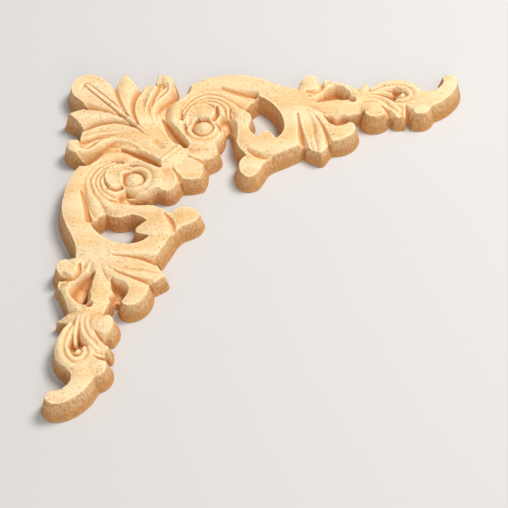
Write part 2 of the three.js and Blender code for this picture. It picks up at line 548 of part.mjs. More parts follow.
// Facets cut off at the foot of the walls
const solid = [];
const crossings = new Map();
function crossing(a, b) {
  const key = edgeKey(a, b);
  if (!crossings.has(key)) {
    let low = a < b ? a : b;
    let high = a < b ? b : a;
    if (heights[low] > 0) {
      [low, high] = [high, low];
    }
    let outside = 0;
    let inside = 1;
    for (let turn = 0; turn < 20; turn++) {
      const middle = (outside + inside) / 2;
      const x = THREE.MathUtils.lerp(points[low][0], points[high][0], middle);
      const y = THREE.MathUtils.lerp(points[low][1], points[high][1], middle);
      if (surface(x, y) > 0) {
        inside = middle;
      } else {
        outside = middle;
      }
    }
    points.push([
      THREE.MathUtils.lerp(points[low][0], points[high][0], inside),
      THREE.MathUtils.lerp(points[low][1], points[high][1], inside),
    ]);
    heights.push(0);
    crossings.set(key, points.length - 1);
  }
  return crossings.get(key);
}

for (const ids of facets) {
  const ring = [];
  for (let k = 0; k < 3; k++) {
    const a = ids[k];
    const b = ids[(k + 1) % 3];
    if (heights[a] >= 0) {
      ring.push(a);
    }
    if ((heights[a] > 0 && heights[b] < 0) || (heights[a] < 0 && heights[b] > 0)) {
      ring.push(crossing(a, b));
    }
  }
  if (ring.length >= 3 && ring.some((id) => heights[id] > 0)) {
    for (let k = 1; k + 1 < ring.length; k++) {
      solid.push([ring[0], ring[k], ring[k + 1]]);
    }
  }
}

// Rings of edges along the foot of the walls, joined end to end
const follow = new Map();
const seen = new Set();
for (const ids of solid) {
  for (let k = 0; k < 3; k++) {
    seen.add(`${ids[k]},${ids[(k + 1) % 3]}`);
  }
}
for (const key of seen) {
  const [a, b] = key.split(',').map(Number);
  if (!seen.has(`${b},${a}`)) {
    if (follow.has(a)) {
      throw new Error(`two edges leave one point at ${points[a]}`);
    }
    follow.set(a, b);
  }
}
const rings = [];
while (follow.size) {
  const start = follow.keys().next().value;
  const ring = [];
  let id = start;
  do {
    ring.push(id);
    const to = follow.get(id);
    follow.delete(id);
    id = to;
  } while (id !== start);
  rings.push(ring);
}

// Flat back
const flat = (ring) => ring.map((id) => new THREE.Vector2(...points[id]));
const size = (ring) => THREE.ShapeUtils.area(flat(ring));
rings.sort((a, b) => size(b) - size(a));
const [outer, ...inner] = rings;
const order = [outer, ...inner].flat();
const back = THREE.ShapeUtils.triangulateShape(flat(outer), inner.map(flat))
  .map((ids) => ids.map((n) => order[n]).reverse());

const used = new Map();
const positions = [];
const corner = (id) => {
  if (!used.has(id)) {
    used.set(id, positions.length / 3);
    positions.push(points[id][0], points[id][1], heights[id]);
  }
  return used.get(id);
};
const geometry = new THREE.BufferGeometry();
geometry.setIndex([...solid, ...back].flat().map(corner));
geometry.setAttribute('position', new THREE.Float32BufferAttribute(positions, 3));
geometry.computeBoundingBox();
const middle = geometry.boundingBox.getCenter(new THREE.Vector3());
geometry.translate(-middle.x, -middle.y, 0);
geometry.computeVertexNormals();

const onlay = new THREE.Mesh(
  geometry,
  new THREE.MeshStandardMaterial({ color: 0xe9c48d, roughness: 0.72, metalness: 0 }),
);
onlay.name = 'corner_onlay';

const group = new THREE.Group();
group.add(onlay);
export default group;
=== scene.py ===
# %% [markdown]
# # A carved wooden corner onlay
# Furniture makers glue an onlay like this on a flat panel. It is carved from one board: an
# acanthus palmette stands on the corner, and on either side of it a leafy volute runs out
# into a long scrolled arm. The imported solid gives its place, its box and its coarse form.
# The steps below carve the same form again, finely enough for veins and tool marks, and
# then give it the look of fresh pale wood.

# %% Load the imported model
import math

import bpy
import numpy as np
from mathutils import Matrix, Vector
from mathutils.geometry import delaunay_2d_cdt


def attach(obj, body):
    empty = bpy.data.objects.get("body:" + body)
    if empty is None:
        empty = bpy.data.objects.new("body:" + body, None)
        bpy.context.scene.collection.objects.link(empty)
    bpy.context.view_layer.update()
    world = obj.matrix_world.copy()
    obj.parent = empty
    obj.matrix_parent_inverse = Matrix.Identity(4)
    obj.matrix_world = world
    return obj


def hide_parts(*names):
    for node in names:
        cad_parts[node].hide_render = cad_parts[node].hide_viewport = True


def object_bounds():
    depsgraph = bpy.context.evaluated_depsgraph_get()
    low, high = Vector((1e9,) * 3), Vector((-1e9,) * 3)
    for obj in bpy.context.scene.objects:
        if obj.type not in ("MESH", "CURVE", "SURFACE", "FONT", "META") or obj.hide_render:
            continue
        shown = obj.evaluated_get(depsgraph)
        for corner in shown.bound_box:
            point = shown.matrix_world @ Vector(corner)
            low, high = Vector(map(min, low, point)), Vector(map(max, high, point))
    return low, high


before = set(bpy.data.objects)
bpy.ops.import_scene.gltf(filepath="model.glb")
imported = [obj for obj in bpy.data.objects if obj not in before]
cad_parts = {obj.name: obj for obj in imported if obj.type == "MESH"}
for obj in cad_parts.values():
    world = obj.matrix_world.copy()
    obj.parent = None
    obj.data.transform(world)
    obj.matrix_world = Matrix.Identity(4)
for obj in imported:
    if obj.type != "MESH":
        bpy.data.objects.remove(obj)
solid_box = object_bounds()
print("box of the solid, m:", [[round(value, 4) for value in corner] for corner in solid_box])

# %% [markdown]
# ## Sizes
# The carver works from a drawing of one arm. Both arms are the same about the corner's
# diagonal, so one table of curves serves both: `u` runs along the arm from the corner and
# `v` across it. The drawing has an arm of 205.5 mm and a face 10.8 mm high, and two
# scales bring it to the real size.

# %% Sizes of the onlay
ARM_LENGTH = 200.0
THICKNESS = 12.0
DRAWN_ARM = 205.5
DRAWN_THICKNESS = 10.8
PLAN = ARM_LENGTH / DRAWN_ARM
RISE = THICKNESS / DRAWN_THICKNESS

WALL_LEAN_DEG = 15.0
WALL_SLOPE = 1 / math.tan(math.radians(WALL_LEAN_DEG))
FLOOR_HEIGHT = 2.4   # where no strand lies, and in the hollow of the loop
GROOVE_DEPTH = 0.8   # of the grooves beside the rib, over the rib's height
FLUTE_DEPTH = 1.5    # of a flute whose row gives a fall of 1
EYE_RADIUS = 4.4
EYE_HEIGHT = 9.6
EYE_FALL = 2.4       # from the eye's crest to its rim
SOCKET_DEPTH = 3.4   # under the eye's crest
SOCKET_SHARE = 1.25  # radius of the socket over that of the eye
print("plan scale", round(PLAN, 4), "wall slope", round(WALL_SLOPE, 2))

# %% [markdown]
# ## The drawing
# Every edge and every strand of the carving is a curve through a few points that a carver
# would mark with dividers. The outline is the upper edge of the side walls, in runs that
# meet at sharp corners. Each strand carries the height of its crest and half its width
# along with it.

# %% Outline, openings, strands and hollows
OUTLINE = [
  # Middle lobe of the palmette
  [[6.9, 6.9], [9.2, 5.1], [13.2, 4.1], [17.8, 5.4], [22.2, 9.4], [26.6, 13.8]],
  # Pointed lobe
  [[26.6, 13.8], [28.5, 9.6], [31.9, 4]],
  [[31.9, 4], [34, 7], [39.4, 12.4]],
  # Hooked lobe
  [[39.4, 12.4], [41.4, 11.8], [44.6, 11], [48.4, 10.8]],
  [[48.4, 10.8], [48.2, 7.8], [49.6, 5.2], [52.1, 4], [55.4, 6.2], [58, 11.6], [60, 17]],
  # Long arc over the volute
  [[60, 17], [65.4, 11.8], [71, 8.6], [77, 6.4], [84, 5.1], [90, 4.6], [96.5, 5.3], [103, 7.5],
    [109.5, 10.6], [115.6, 12.9], [121.4, 13.4]],
  # Small round lobe beyond it
  [[121.4, 13.4], [122.6, 9], [124.8, 5.6], [128, 4.4], [131, 5.8], [132.8, 9]],
  # Upper strand of the loop
  [[132.8, 9], [136.4, 5.6], [140.6, 7.4], [146, 9.8], [152.6, 12]],
  # Bud
  [[152.6, 12], [156.7, 6.6]],
  [[156.7, 6.6], [158.9, 12.4]],
  # Small scroll
  [[158.9, 12.4], [165, 9], [171, 7], [177, 7], [181, 9.2], [184, 12.8], [187, 15.2], [190.4, 15.4],
    [194, 13.6], [196, 11.4], [196.9, 8.8], [196.5, 6.4]],
  # Tail
  [[196.5, 6.4], [198.8, 4.8], [201.6, 4.9], [203.7, 7.8], [203.2, 12.4], [200, 18], [195.4, 22.4],
    [189.2, 25.8]],
  # Three lobes under the small scroll
  [[189.2, 25.8], [187.6, 29], [184.4, 31], [180.4, 30.6], [177, 28]],
  [[177, 28], [175.4, 30.6], [172.4, 31.4], [168, 28.8]],
  [[168, 28.8], [164.2, 31.6], [160, 33.1], [156.6, 32.2], [155.2, 29.8], [155.4, 26.8]],
  # Lower strand, and the hooked leaf under it
  [[155.4, 26.8], [150.6, 28.8], [146, 30.8], [143.4, 33.4]],
  [[143.4, 33.4], [145.6, 36], [148.4, 36.8], [149.8, 39.6], [148.6, 43.6], [145, 46.8],
    [140.6, 48.4], [135.8, 48.4]],
  # Pointed leaf
  [[135.8, 48.4], [135, 52], [132.2, 56]],
  [[132.2, 56], [127.8, 53.6], [123.6, 50]],
  # Outer side of the big curl, and its round end
  [[123.6, 50], [118.6, 53], [112.6, 56.2], [107, 59.2], [103.2, 63], [101, 67.4], [98.4, 70.8],
    [95, 71.6], [91.9, 69], [90.9, 64.6], [92, 60.4], [94.5, 57.4]],
  # Crevice between the curl and the volute
  [[94.5, 57.4], [91.8, 53.6], [89.7, 49], [88.8, 44.6], [87.7, 40.4], [85.4, 36.8]],
  [[85.4, 36.8], [83.7, 39.8], [83.4, 43.2], [82.4, 47], [79.4, 50.8]],
  # Shell on the inside of the corner
  [[79.4, 50.8], [80.3, 54], [79.4, 57.2], [76.6, 59.4], [73, 61.8]],
  [[73, 61.8], [73, 66], [72.6, 69.4], [71.8, 71.8]],
]

# Openings right through each arm
HOLES = [
  # Under the long arc, with the rounded finger that stands up into it
  [
    [[101, 18.6], [104.6, 20.6], [108.4, 24.2], [111.6, 29], [113.4, 34.4], [113.8, 39.8],
      [112.4, 44.6], [109.4, 48]],
    [[109.4, 48], [108, 45.2], [106.6, 42.2], [104.4, 41], [102.2, 42.2], [101, 44.4], [99.6, 46.4]],
    [[99.6, 46.4], [96.8, 42.8], [95.6, 39.4], [96.2, 36.4], [97, 32.4], [95.8, 28.8], [93.6, 26.2]],
    [[93.6, 26.2], [96, 24.4], [98.6, 21.4], [101, 18.6]],
  ],
  # Slit in the floor of the loop
  [
    [[137, 20], [140.4, 18], [143.8, 16.8]],
    [[143.8, 16.8], [143.8, 19], [141, 20.4], [137, 20]],
  ],
]

# Strands of the carving, each [section, fall across it, lean to its right, points], and
# each point [along, across, height of its crest, half its width]
STRANDS = [
  # Palmette: middle leaf, pointed lobe, two flutes and the hooked lobe
  ['round', 0.8, 0, [[9, 9, 10.2, 8], [17, 17, 10.6, 11.5], [28, 28, 10.4, 10], [38, 38, 9.8, 7.6],
    [47, 47, 8.8, 5.5]]],
  ['round', 2, 0, [[31.9, 2.8, 10, 3.6], [31.9, 9, 10.6, 4.8], [32, 16, 10.4, 5.2],
    [32.8, 23, 10, 4.4], [35.4, 31, 9.6, 3.4], [40.4, 39, 8.8, 2.4]]],
  ['flute', 1.1, 0, [[45, 8.6, 10, 4.6], [42.4, 16, 10.2, 3.9], [40.6, 23, 9.8, 3.2],
    [40.4, 30, 9.4, 2.6], [42.8, 37, 8.8, 2], [46.6, 43, 8.2, 1.5]]],
  ['flute', 0.9, 0, [[51, 11.6, 9, 2.4], [47.4, 16.8, 9.6, 2.2], [44.8, 23.6, 9.4, 1.8],
    [44.2, 30, 9, 1.6], [46.2, 36.6, 8.6, 1.5], [50.4, 43.8, 8, 1.4]]],
  ['round', 1.6, 0, [[49.6, 5.6, 10.2, 2.6], [53.4, 7.6, 10.6, 3], [56.2, 11, 10.4, 2.8],
    [56, 15, 10, 2.3], [53, 18.8, 9.6, 2.1], [49, 21.8, 9.4, 2], [46.6, 26.6, 9, 1.9],
    [47, 33, 8.6, 1.8], [50.4, 39.6, 8.2, 1.6], [55, 45, 8, 1.4]]],
  # Ground between the hooked lobe and the arc
  ['round', 0.8, 0, [[54.6, 23, 5.6, 2], [51.6, 27, 6.2, 2.6], [51, 31.4, 6.2, 2.4], [54, 36, 5.4, 2]]],
  # Vase that the palmette grows from, with its raised edges
  ['round', 0.6, 0, [[46, 46, 8.2, 4.4], [51, 51, 8.4, 6.6], [56.4, 56.4, 8.8, 6]]],
  ['round', 1.4, 0, [[52.6, 40.6, 8, 1.1], [56.2, 44.6, 8.6, 1.2], [59.4, 48.8, 9.2, 1.2],
    [61.4, 51.4, 9.6, 1.3]]],
  ['round', 1.6, 0, [[61.4, 51.4, 9.6, 1.3], [58.8, 54.4, 9.6, 1.4], [56.6, 56.6, 9.6, 1.4]]],
  # Long arc, turning in to the big curl, and the curl's round end
  ['round', 1.2, -0.4, [[58.8, 36, 8.2, 2.4], [58, 30, 8.8, 2.6], [59.4, 24.4, 9.2, 3],
    [62.4, 19, 9.6, 3.6], [67.6, 14.4, 10.2, 4.4], [75, 11, 10.6, 4.8], [84, 9.6, 10.7, 5],
    [92, 9.8, 10.7, 5.6], [102, 13, 10.5, 7], [111.6, 18.8, 10.2, 8.4], [118, 27.6, 10, 9],
    [119, 37, 10, 9], [115, 46, 10.2, 8.4], [107, 50.6, 10.4, 7.8], [101, 51.2, 10.3, 6.8]]],
  ['round', 0.6, 0, [[110, 56, 8, 2.4], [103, 60.4, 8.8, 4], [96.4, 65, 9.6, 6]]],
  ['round', 1, 0, [[104.4, 44.6, 9.2, 3.8], [104.2, 48.4, 9.6, 5]]],
  # Ridge between the crevice and the opening
  ['round', 0.9, 0, [[91, 28.6, 9, 2.6], [92.8, 33, 9.3, 4.4], [92.2, 39, 9.4, 4.4],
    [94, 45, 9.6, 5], [99.6, 49.6, 10, 6]]],
  # Leaf veins that run round the volute, from the outside in
  ['round', 1.3, 0.3, [[61.6, 26, 8.4, 1.2], [66, 19.8, 9.2, 1.3], [74.4, 15.9, 9.8, 1.5],
    [82.4, 17, 10.1, 2.2], [89, 20.2, 9.9, 2.9], [96, 22.4, 8.8, 3]]],
  ['round', 1.3, 0.3, [[62.2, 28.6, 8.2, 1], [66.4, 22.6, 9, 1.2], [74, 18.6, 9.5, 1.3],
    [81, 20, 9.7, 1.6], [87, 24.2, 9.6, 2.3], [91.6, 29.4, 8.8, 2.6]]],
  ['round', 1.3, 0.3, [[62.6, 31.4, 8, 1], [66.6, 25, 8.8, 1.1], [73.6, 20.9, 9.2, 1.1],
    [79.8, 21.9, 9.4, 1.3], [84.4, 25.6, 9.3, 1.7], [86.4, 30.6, 8.4, 1.5]]],
  ['round', 1.3, 0.3, [[62.4, 35, 7.8, 1.2], [64, 30, 8.4, 1.1], [67.8, 25.8, 9, 1.1],
    [73.6, 23.1, 9.3, 1.1], [78.6, 24, 9.6, 1.5], [81.6, 27.2, 9.4, 1.9],
    [82.2, 31.6, 8.4, 1.5]]],
  # Leaf over the eye
  ['flute', 0.7, 0, [[65.4, 36.6, 7.6, 1.2], [66, 32.6, 8.8, 2.2], [68.4, 29.4, 9.8, 3.6],
    [72.4, 28.6, 10.3, 3.9], [76, 30, 10, 3], [77.6, 31.4, 9.4, 2]]],
  # Rings round the lower side of the volute
  ['round', 1.5, 0, [[60.4, 34.6, 8.2, 2.2], [60.2, 41, 8.8, 2.8], [63.2, 46.8, 9.4, 3.1],
    [69, 50, 9.4, 3.2], [75, 50.2, 9.4, 3.6], [79.2, 46.8, 8.8, 3.4], [80.4, 42.6, 7.8, 2.6]]],
  ['round', 1.4, 0, [[65.6, 37, 7.8, 1], [65.4, 41, 8.4, 1.5], [67.6, 44.8, 8.8, 1.9],
    [72.4, 46.6, 9, 2], [77, 44.4, 9, 2], [78.6, 40, 8.8, 1.9], [77.4, 36, 8.2, 1.3]]],
  # Round lobe at the outer edge, loop, lower strand, hooked leaf and pointed leaf
  ['round', 0.8, 0, [[128, 8, 10.2, 5], [127.6, 11.6, 10, 4.6], [124, 15, 9.6, 3]]],
  ['round', 1.4, 0, [[123, 20.4, 9.2, 1.8], [129, 19, 9.2, 1.6], [134.6, 15.6, 9, 1.7],
    [137.4, 10.6, 9, 2.4]]],
  ['round', 1.4, 0, [[139.6, 9.6, 9.2, 2.6], [144.6, 11.8, 9.6, 2.8], [149.4, 14.8, 9.6, 2.8],
    [153, 18.4, 9.4, 2.6]]],
  ['round', 1.4, -0.5, [[122, 23, 9.4, 3], [130, 24.8, 9.7, 3.2], [138, 25.6, 10, 4.4],
    [145, 24.6, 10.1, 4.8], [151, 21.8, 10, 4.2], [157, 18.6, 9.4, 2.8]]],
  ['round', 0.9, 0, [[123, 25.4, 9.5, 2], [129, 29, 9.7, 2.4], [133.6, 35.6, 9.9, 3],
    [138.4, 41.8, 10.2, 5], [143.4, 42.8, 10.3, 5.4], [147, 40, 10, 4]]],
  ['round', 1.6, 0, [[121.4, 25.6, 9.4, 1.6], [127.4, 31, 9.8, 2.2], [130.8, 38, 10, 2.8],
    [132.2, 46, 10, 3.4], [132.2, 54.4, 8.8, 2.8]]],
  ['round', 1.6, 0, [[120.6, 27, 9.4, 1.5], [125.4, 32.6, 9.6, 1.7], [127.2, 40, 9.5, 2],
    [127.8, 47, 9.2, 2.4], [129.6, 53, 8.4, 2.2]]],
  # Bud, small scroll with its eye, and the strands that fan out of the bud
  ['round', 1, 0, [[156.6, 7.6, 6.4, 1.8], [156.2, 12, 8.4, 2.8], [154.4, 17, 9.4, 2.6]]],
  ['round', 1.2, 0, [[159.4, 13, 9, 1.4], [163.8, 10.8, 9.8, 1.7], [169.4, 9.2, 10, 2],
    [175.4, 9.4, 10, 2.2], [180.2, 11.6, 10, 2.3], [182.8, 15.6, 9.8, 2.3], [182.2, 19.8, 9.6, 2.3],
    [179, 22.8, 9.4, 2.2], [175, 23.6, 9, 1.9], [171.6, 22.6, 8.4, 1.4]]],
  ['round', 1.4, 0, [[161, 14.8, 9, 1.2], [166.4, 12.8, 9.5, 1.3], [171, 12.2, 9.8, 1.4],
    [175.8, 12.9, 10, 1.5], [179, 15.6, 10, 1.6], [178.8, 18.8, 9.8, 1.7], [175.6, 20.6, 9.4, 1.7],
    [172.2, 20, 8.6, 1.4]]],
  ['round', 1.6, 0, [[174.8, 17.2, 9.4, 1.9]]],
  ['round', 1.3, 0, [[153.6, 17, 9.4, 1.6], [160, 16, 9.6, 1.3], [165.6, 15.4, 9.2, 0.9],
    [169.6, 15.8, 8.4, 0.6]]],
  ['round', 1.3, 0, [[153.6, 19, 9.4, 1.6], [160, 18.4, 9.6, 1.4], [165.6, 20, 9.4, 1.5],
    [169.6, 23, 9.2, 1.8], [172.6, 26, 8.2, 2]]],
  ['round', 1.3, 0, [[153.6, 21, 9.4, 1.6], [160, 20.8, 9.6, 1.6], [165, 23.2, 9.2, 1.9],
    [168.4, 26, 7.4, 2]]],
  ['round', 0.7, 0, [[155.4, 23.6, 9, 2.2], [159, 26.4, 10, 4.4], [160, 29.4, 10.2, 6]]],
  # Low lobe between the two others
  ['round', 0.6, 0, [[170.4, 24.6, 6.4, 3.6], [172.6, 28.6, 4.8, 4.6]]],
  ['round', 0.7, 0, [[180.4, 23.4, 9.4, 3.4], [182.8, 26, 10, 5], [183.4, 28, 10.1, 5.6]]],
  ['round', 0.8, 0, [[184.4, 20, 10, 4.6], [190, 20.4, 10.2, 5.6], [195.4, 17.4, 10.5, 5.2],
    [199.8, 12.4, 10.8, 4.8], [200.6, 8, 10.8, 4.4]]],
  # Dished lobes of the shell on the inside of the corner
  ['flute', 0.7, 0, [[59, 59, 8, 2.6], [64.6, 64.6, 8.8, 6.4], [69.4, 69.4, 9.2, 9]]],
  ['flute', 0.7, 0, [[65.4, 53.4, 8, 2.2], [71.6, 55.8, 8.8, 4.6], [76, 56, 9.1, 6]]],
]

# Hollows cut down into the strands, each [steepness of the sides, points], and each point
# [along, across, height of the floor, half the floor's width]
HOLLOWS = [
  # Creases between the lobes of the palmette, deepest at the outline
  [1, [[34, 33, 9.2, 0.1], [29.8, 24, 9, 0.1], [27.7, 17.6, 8.4, 0.1], [26.3, 12.6, 7.6, 0.2]]],
  [1.4, [[39.4, 38, 8.4, 0.1], [36.4, 29, 7.8, 0.2], [36.6, 21, 7, 0.3], [39.6, 11.8, 5.6, 0.4]]],
  [1.4, [[45.8, 25, 7.8, 0.1], [46.8, 19, 7.4, 0.2], [48.6, 14.6, 7.2, 0.3], [49.2, 11, 7, 0.4]]],
  # Rolled tip of the middle leaf
  [0.6, [[9.6, 14.4, 9.9, 0.2], [11, 11, 9.6, 0.4]]],
  [0.6, [[11, 11, 9.6, 0.4], [14.6, 9.4, 9.9, 0.2]]],
  # Cove between the hooked lobe and the arc
  [1.7, [[60.4, 13.6, 1.6, 0.8], [58.2, 17, 2.8, 0.9], [55.4, 20.4, 4.4, 0.8], [51.8, 24, 6, 0.4]]],
  # Trench between the palmette and the volute
  [2.6, [[51.8, 31.8, 4.6, 0.4], [54.8, 37.4, 3.6, 1.2], [57.4, 42.4, 3.4, 1.6],
    [60.4, 47, 3.8, 1.5], [63.6, 50.6, 5, 0.7]]],
  # Cove at the root of the crevice, and the dark ends of the fingers above it
  [2, [[83.8, 34.4, 3.6, 2], [85, 37.4, 2.4, 1.6], [85.4, 42, 2, 1.1], [85, 46, 2, 1.4],
    [83.8, 50, 2, 2]]],
  [2.6, [[79.2, 26, 7, 0.2], [79.4, 30, 6, 0.5], [78, 33, 5.6, 0.5]]],
  [2.6, [[86.2, 27, 7.4, 0.1], [86.2, 31.4, 5.8, 0.4]]],
  # Gouge between the arc and the outermost vein
  [1.6, [[82, 13.6, 8.6, 0.2], [90, 16, 7.4, 0.6], [98.6, 18.2, 6.2, 0.5]]],
  # Loop
  [2.4, [[131, 21.4, 5.4, 0.3], [136.4, 17.6, FLOOR_HEIGHT, 2.2], [141, 16.2, FLOOR_HEIGHT, 2.8],
    [144.4, 17.6, FLOOR_HEIGHT, 1.4]]],
  [1.5, [[126, 15.4, 8, 0.2], [130.4, 15.4, 7.4, 0.3], [133.6, 12.4, 6.8, 0.3], [133.4, 7.4, 6, 0.4]]],
  [1.6, [[146, 17.4, 6.4, 0.3], [149, 21, 7, 0.5]]],
  # Between the lower strand and the hooked leaf
  [2.6, [[134.6, 31, 6, 0.3], [137, 32.4, 3.2, 0.8], [140.6, 34.8, 3, 2], [144.4, 33.2, 3, 1.6]]],
  # Notch between the curl and the pointed leaf, and beside the hooked leaf
  [1.5, [[120.6, 31, 9, 0.1], [121.4, 39, 8.4, 0.2], [122.4, 45.8, 7, 0.3], [123.6, 51.2, 5.4, 0.5]]],
  [1.5, [[129.8, 32, 9, 0.1], [133, 39, 8.6, 0.1], [135, 45, 7.6, 0.2], [136.2, 49.6, 6.2, 0.4]]],
  # Between the curl and its round end
  [1.2, [[94.8, 54.6, 8.4, 0.1], [98.6, 57.6, 7.6, 0.3], [103.4, 59.4, 7.6, 0.3],
    [107.4, 59.6, 7.8, 0.3]]],
  # Dark hollow of the small scroll, on both sides of one vein
  [2.6, [[167.4, 14, 8, 0.1], [171, 14.4, 4.6, 0.5], [173.4, 15.4, 4.6, 0.4]]],
  [2.6, [[164, 16.8, 8.4, 0.1], [168.6, 18, 5.6, 0.6], [171, 18.4, 5, 0.7]]],
  # Between the three lobes under it
  [1.8, [[163.6, 24.6, 8.4, 0.1], [167, 27.6, 6, 0.3], [168.4, 30.4, 4, 0.6]]],
  [2.4, [[176.4, 24.6, 7.6, 0.1], [177.2, 28, 4, 0.5], [177.4, 30.6, 3.4, 0.6]]],
  # Between the shell's lobes
  [1.4, [[65, 57, 8, 0.1], [70, 60.2, 7.2, 0.2], [73.4, 61.6, 6, 0.4]]],
  # Oval in the vase
  [0.5, [[48.6, 48.6, 7.5, 0.6], [51.6, 51.6, 7.5, 0.6]]],
]

# Rib along the diagonal, each point [along, across, its height over the leaf, half its width]
RIB = [[11.6, 11.6, 0.5, 0.8], [15, 15, 1, 1], [36, 36, 1.2, 1], [45, 45, 0.3, 0.4]]
# Middle of the eye
EYE = [72.8, 38.9]


# %% [markdown]
# ## Curves
# A spline through a few points is how a draughtsman's batten bends. The centripetal kind
# keeps close to its points and never loops back at a tight turn, so leaves keep clean
# tips. Columns such as crest height and width are carried along straight between points.

# %% Curve through a few points
def batten(points, step=1.0):
    """Rows about `step` apart on a centripetal Catmull-Rom spline through the points. Each
    span is the cubic c0 + c1 t + c2 t^2 + c3 t^3 whose end slopes come from the square
    roots of the chords beside it. Columns past the second are mixed in a straight line."""
    points = np.asarray(points, dtype=float)
    if len(points) == 1:
        return np.vstack([points, points])
    place = points[:, :2]
    rows = []
    for i in range(len(points) - 1):
        here, there = place[i], place[i + 1]
        before = place[i - 1] if i else 2 * here - there
        after = place[i + 2] if i + 2 < len(points) else 2 * there - here
        if len(points) == 2:
            before, after = 2 * here - there, 2 * there - here
        spans = [max(float(np.hypot(*(b - a))) ** 0.5, 1e-4)
                 for a, b in ((before, here), (here, there), (there, after))]
        d0, d1, d2 = spans
        slope_in = ((here - before) / d0 - (there - before) / (d0 + d1) + (there - here) / d1) * d1
        slope_out = ((there - here) / d1 - (after - here) / (d1 + d2) + (after - there) / d2) * d1
        count = max(1, math.ceil(float(np.hypot(*(there - here))) / step))
        t = np.linspace(0, 1, count + 1)[(1 if i else 0):, None]
        c2 = 3 * (there - here) - 2 * slope_in - slope_out
        c3 = 2 * (here - there) + slope_in + slope_out
        plan = here + slope_in * t + c2 * t**2 + c3 * t**3
        rows.append(np.hstack([plan, points[i, 2:] * (1 - t) + points[i + 1, 2:] * t]))
    return np.vstack(rows)


def closed_loop(runs):
    """The runs' curves end to end, with each shared corner kept once."""
    return np.vstack([batten(run)[:-1] for run in runs])


half_outline = np.vstack([closed_loop(OUTLINE), [OUTLINE[-1][-1]]])
outline = np.vstack([half_outline, half_outline[1:-1][::-1, ::-1]])
openings = [closed_loop(runs) for runs in HOLES]
print("points round the outline:", len(outline))

# %% [markdown]
# ## Distances
# Two distances do all the carving. One is to the nearest place on a spine, which shapes
# the leaf or strand round it. The other is to the outline, which stands the walls.

# %% Distance to a spine and to a loop
def nearest(line, u, v):
    """For all places at once: the distance to a line of points, its side (1 right, -1
    left) and the line's other columns there. On each segment the nearest place is its
    start plus the share t of it, t being the dot product over the squared length, kept
    between 0 and 1; the smallest distance of all segments wins."""
    best = np.full(u.shape, np.inf)
    side = np.zeros(u.shape)
    columns = np.zeros((line.shape[1] - 2,) + u.shape)
    for a, b in zip(line[:-1], line[1:]):
        du, dv = b[:2] - a[:2]
        long = du * du + dv * dv
        t = np.clip(((u - a[0]) * du + (v - a[1]) * dv) / long, 0, 1) if long else np.zeros(u.shape)
        away_u, away_v = u - a[0] - t * du, v - a[1] - t * dv
        away = np.hypot(away_u, away_v)
        closer = away < best
        best = np.where(closer, away, best)
        side = np.where(closer, np.sign(du * (v - a[1]) - dv * (u - a[0])), side)
        for k in range(len(columns)):
            columns[k] = np.where(closer, a[k + 2] * (1 - t) + b[k + 2] * t, columns[k])
    return best, side, columns


def loop_distance(loop, u, v):
    """Distance to a closed loop, positive inside it. A place is inside where a ray along u
    crosses the loop an odd number of times."""
    best = np.full(u.shape, np.inf)
    inside = np.zeros(u.shape, dtype=bool)
    for a, b in zip(loop, np.roll(loop, -1, axis=0)):
        du, dv = b - a
        long = du * du + dv * dv
        if long == 0:
            continue
        t = np.clip(((u - a[0]) * du + (v - a[1]) * dv) / long, 0, 1)
        best = np.minimum(best, np.hypot(u - a[0] - t * du, v - a[1] - t * dv))
        if dv != 0:
            inside ^= ((a[1] > v) != (b[1] > v)) & (u < a[0] + du * (v - a[1]) / dv)
    return np.where(inside, best, -best)


def edge_distance(u, v):
    """Distance to the upper edge of the walls: the outline's, or minus an opening's where
    that is less."""
    edge = loop_distance(outline, u, v)
    for opening in openings:
        edge = np.minimum(edge, -loop_distance(opening, u, v))
    return edge

# %% [markdown]
# ## The carved face
# A carver leaves the strand that lies on top and cuts the others down to it. Taking the
# highest of all the strands at each place does the same, and gives the sharp valleys where
# two of them meet. Hollows are cut afterwards by taking the lower of two heights.

# %% Height of the face
# A strand is worked out this many half widths from its spine, and 1 more millimetre
STRAND_REACH = 3.2


def strand_height(section, fall, lean, line, u, v):
    """A round strand is crest - fall s^2 + lean s, with s the distance across over half
    the width. A flute is hollow instead: crest - depth (1 - s^2) inside its two edges, and
    it falls away at 2 in 1 outside them."""
    away, side, (crest, half) = nearest(line, u, v)
    s = away / half
    if section == "round":
        return crest - fall * s * s + lean * side * s
    depth = FLUTE_DEPTH * fall
    return np.where(s < 1, crest - depth * (1 - s * s), crest - 2 * (away - half))


def close_to(line, u, v, reach):
    """Places inside the line's box grown by `reach`."""
    low, high = line[:, :2].min(axis=0) - reach, line[:, :2].max(axis=0) + reach
    return (u > low[0]) & (u < high[0]) & (v > low[1]) & (v < high[1])


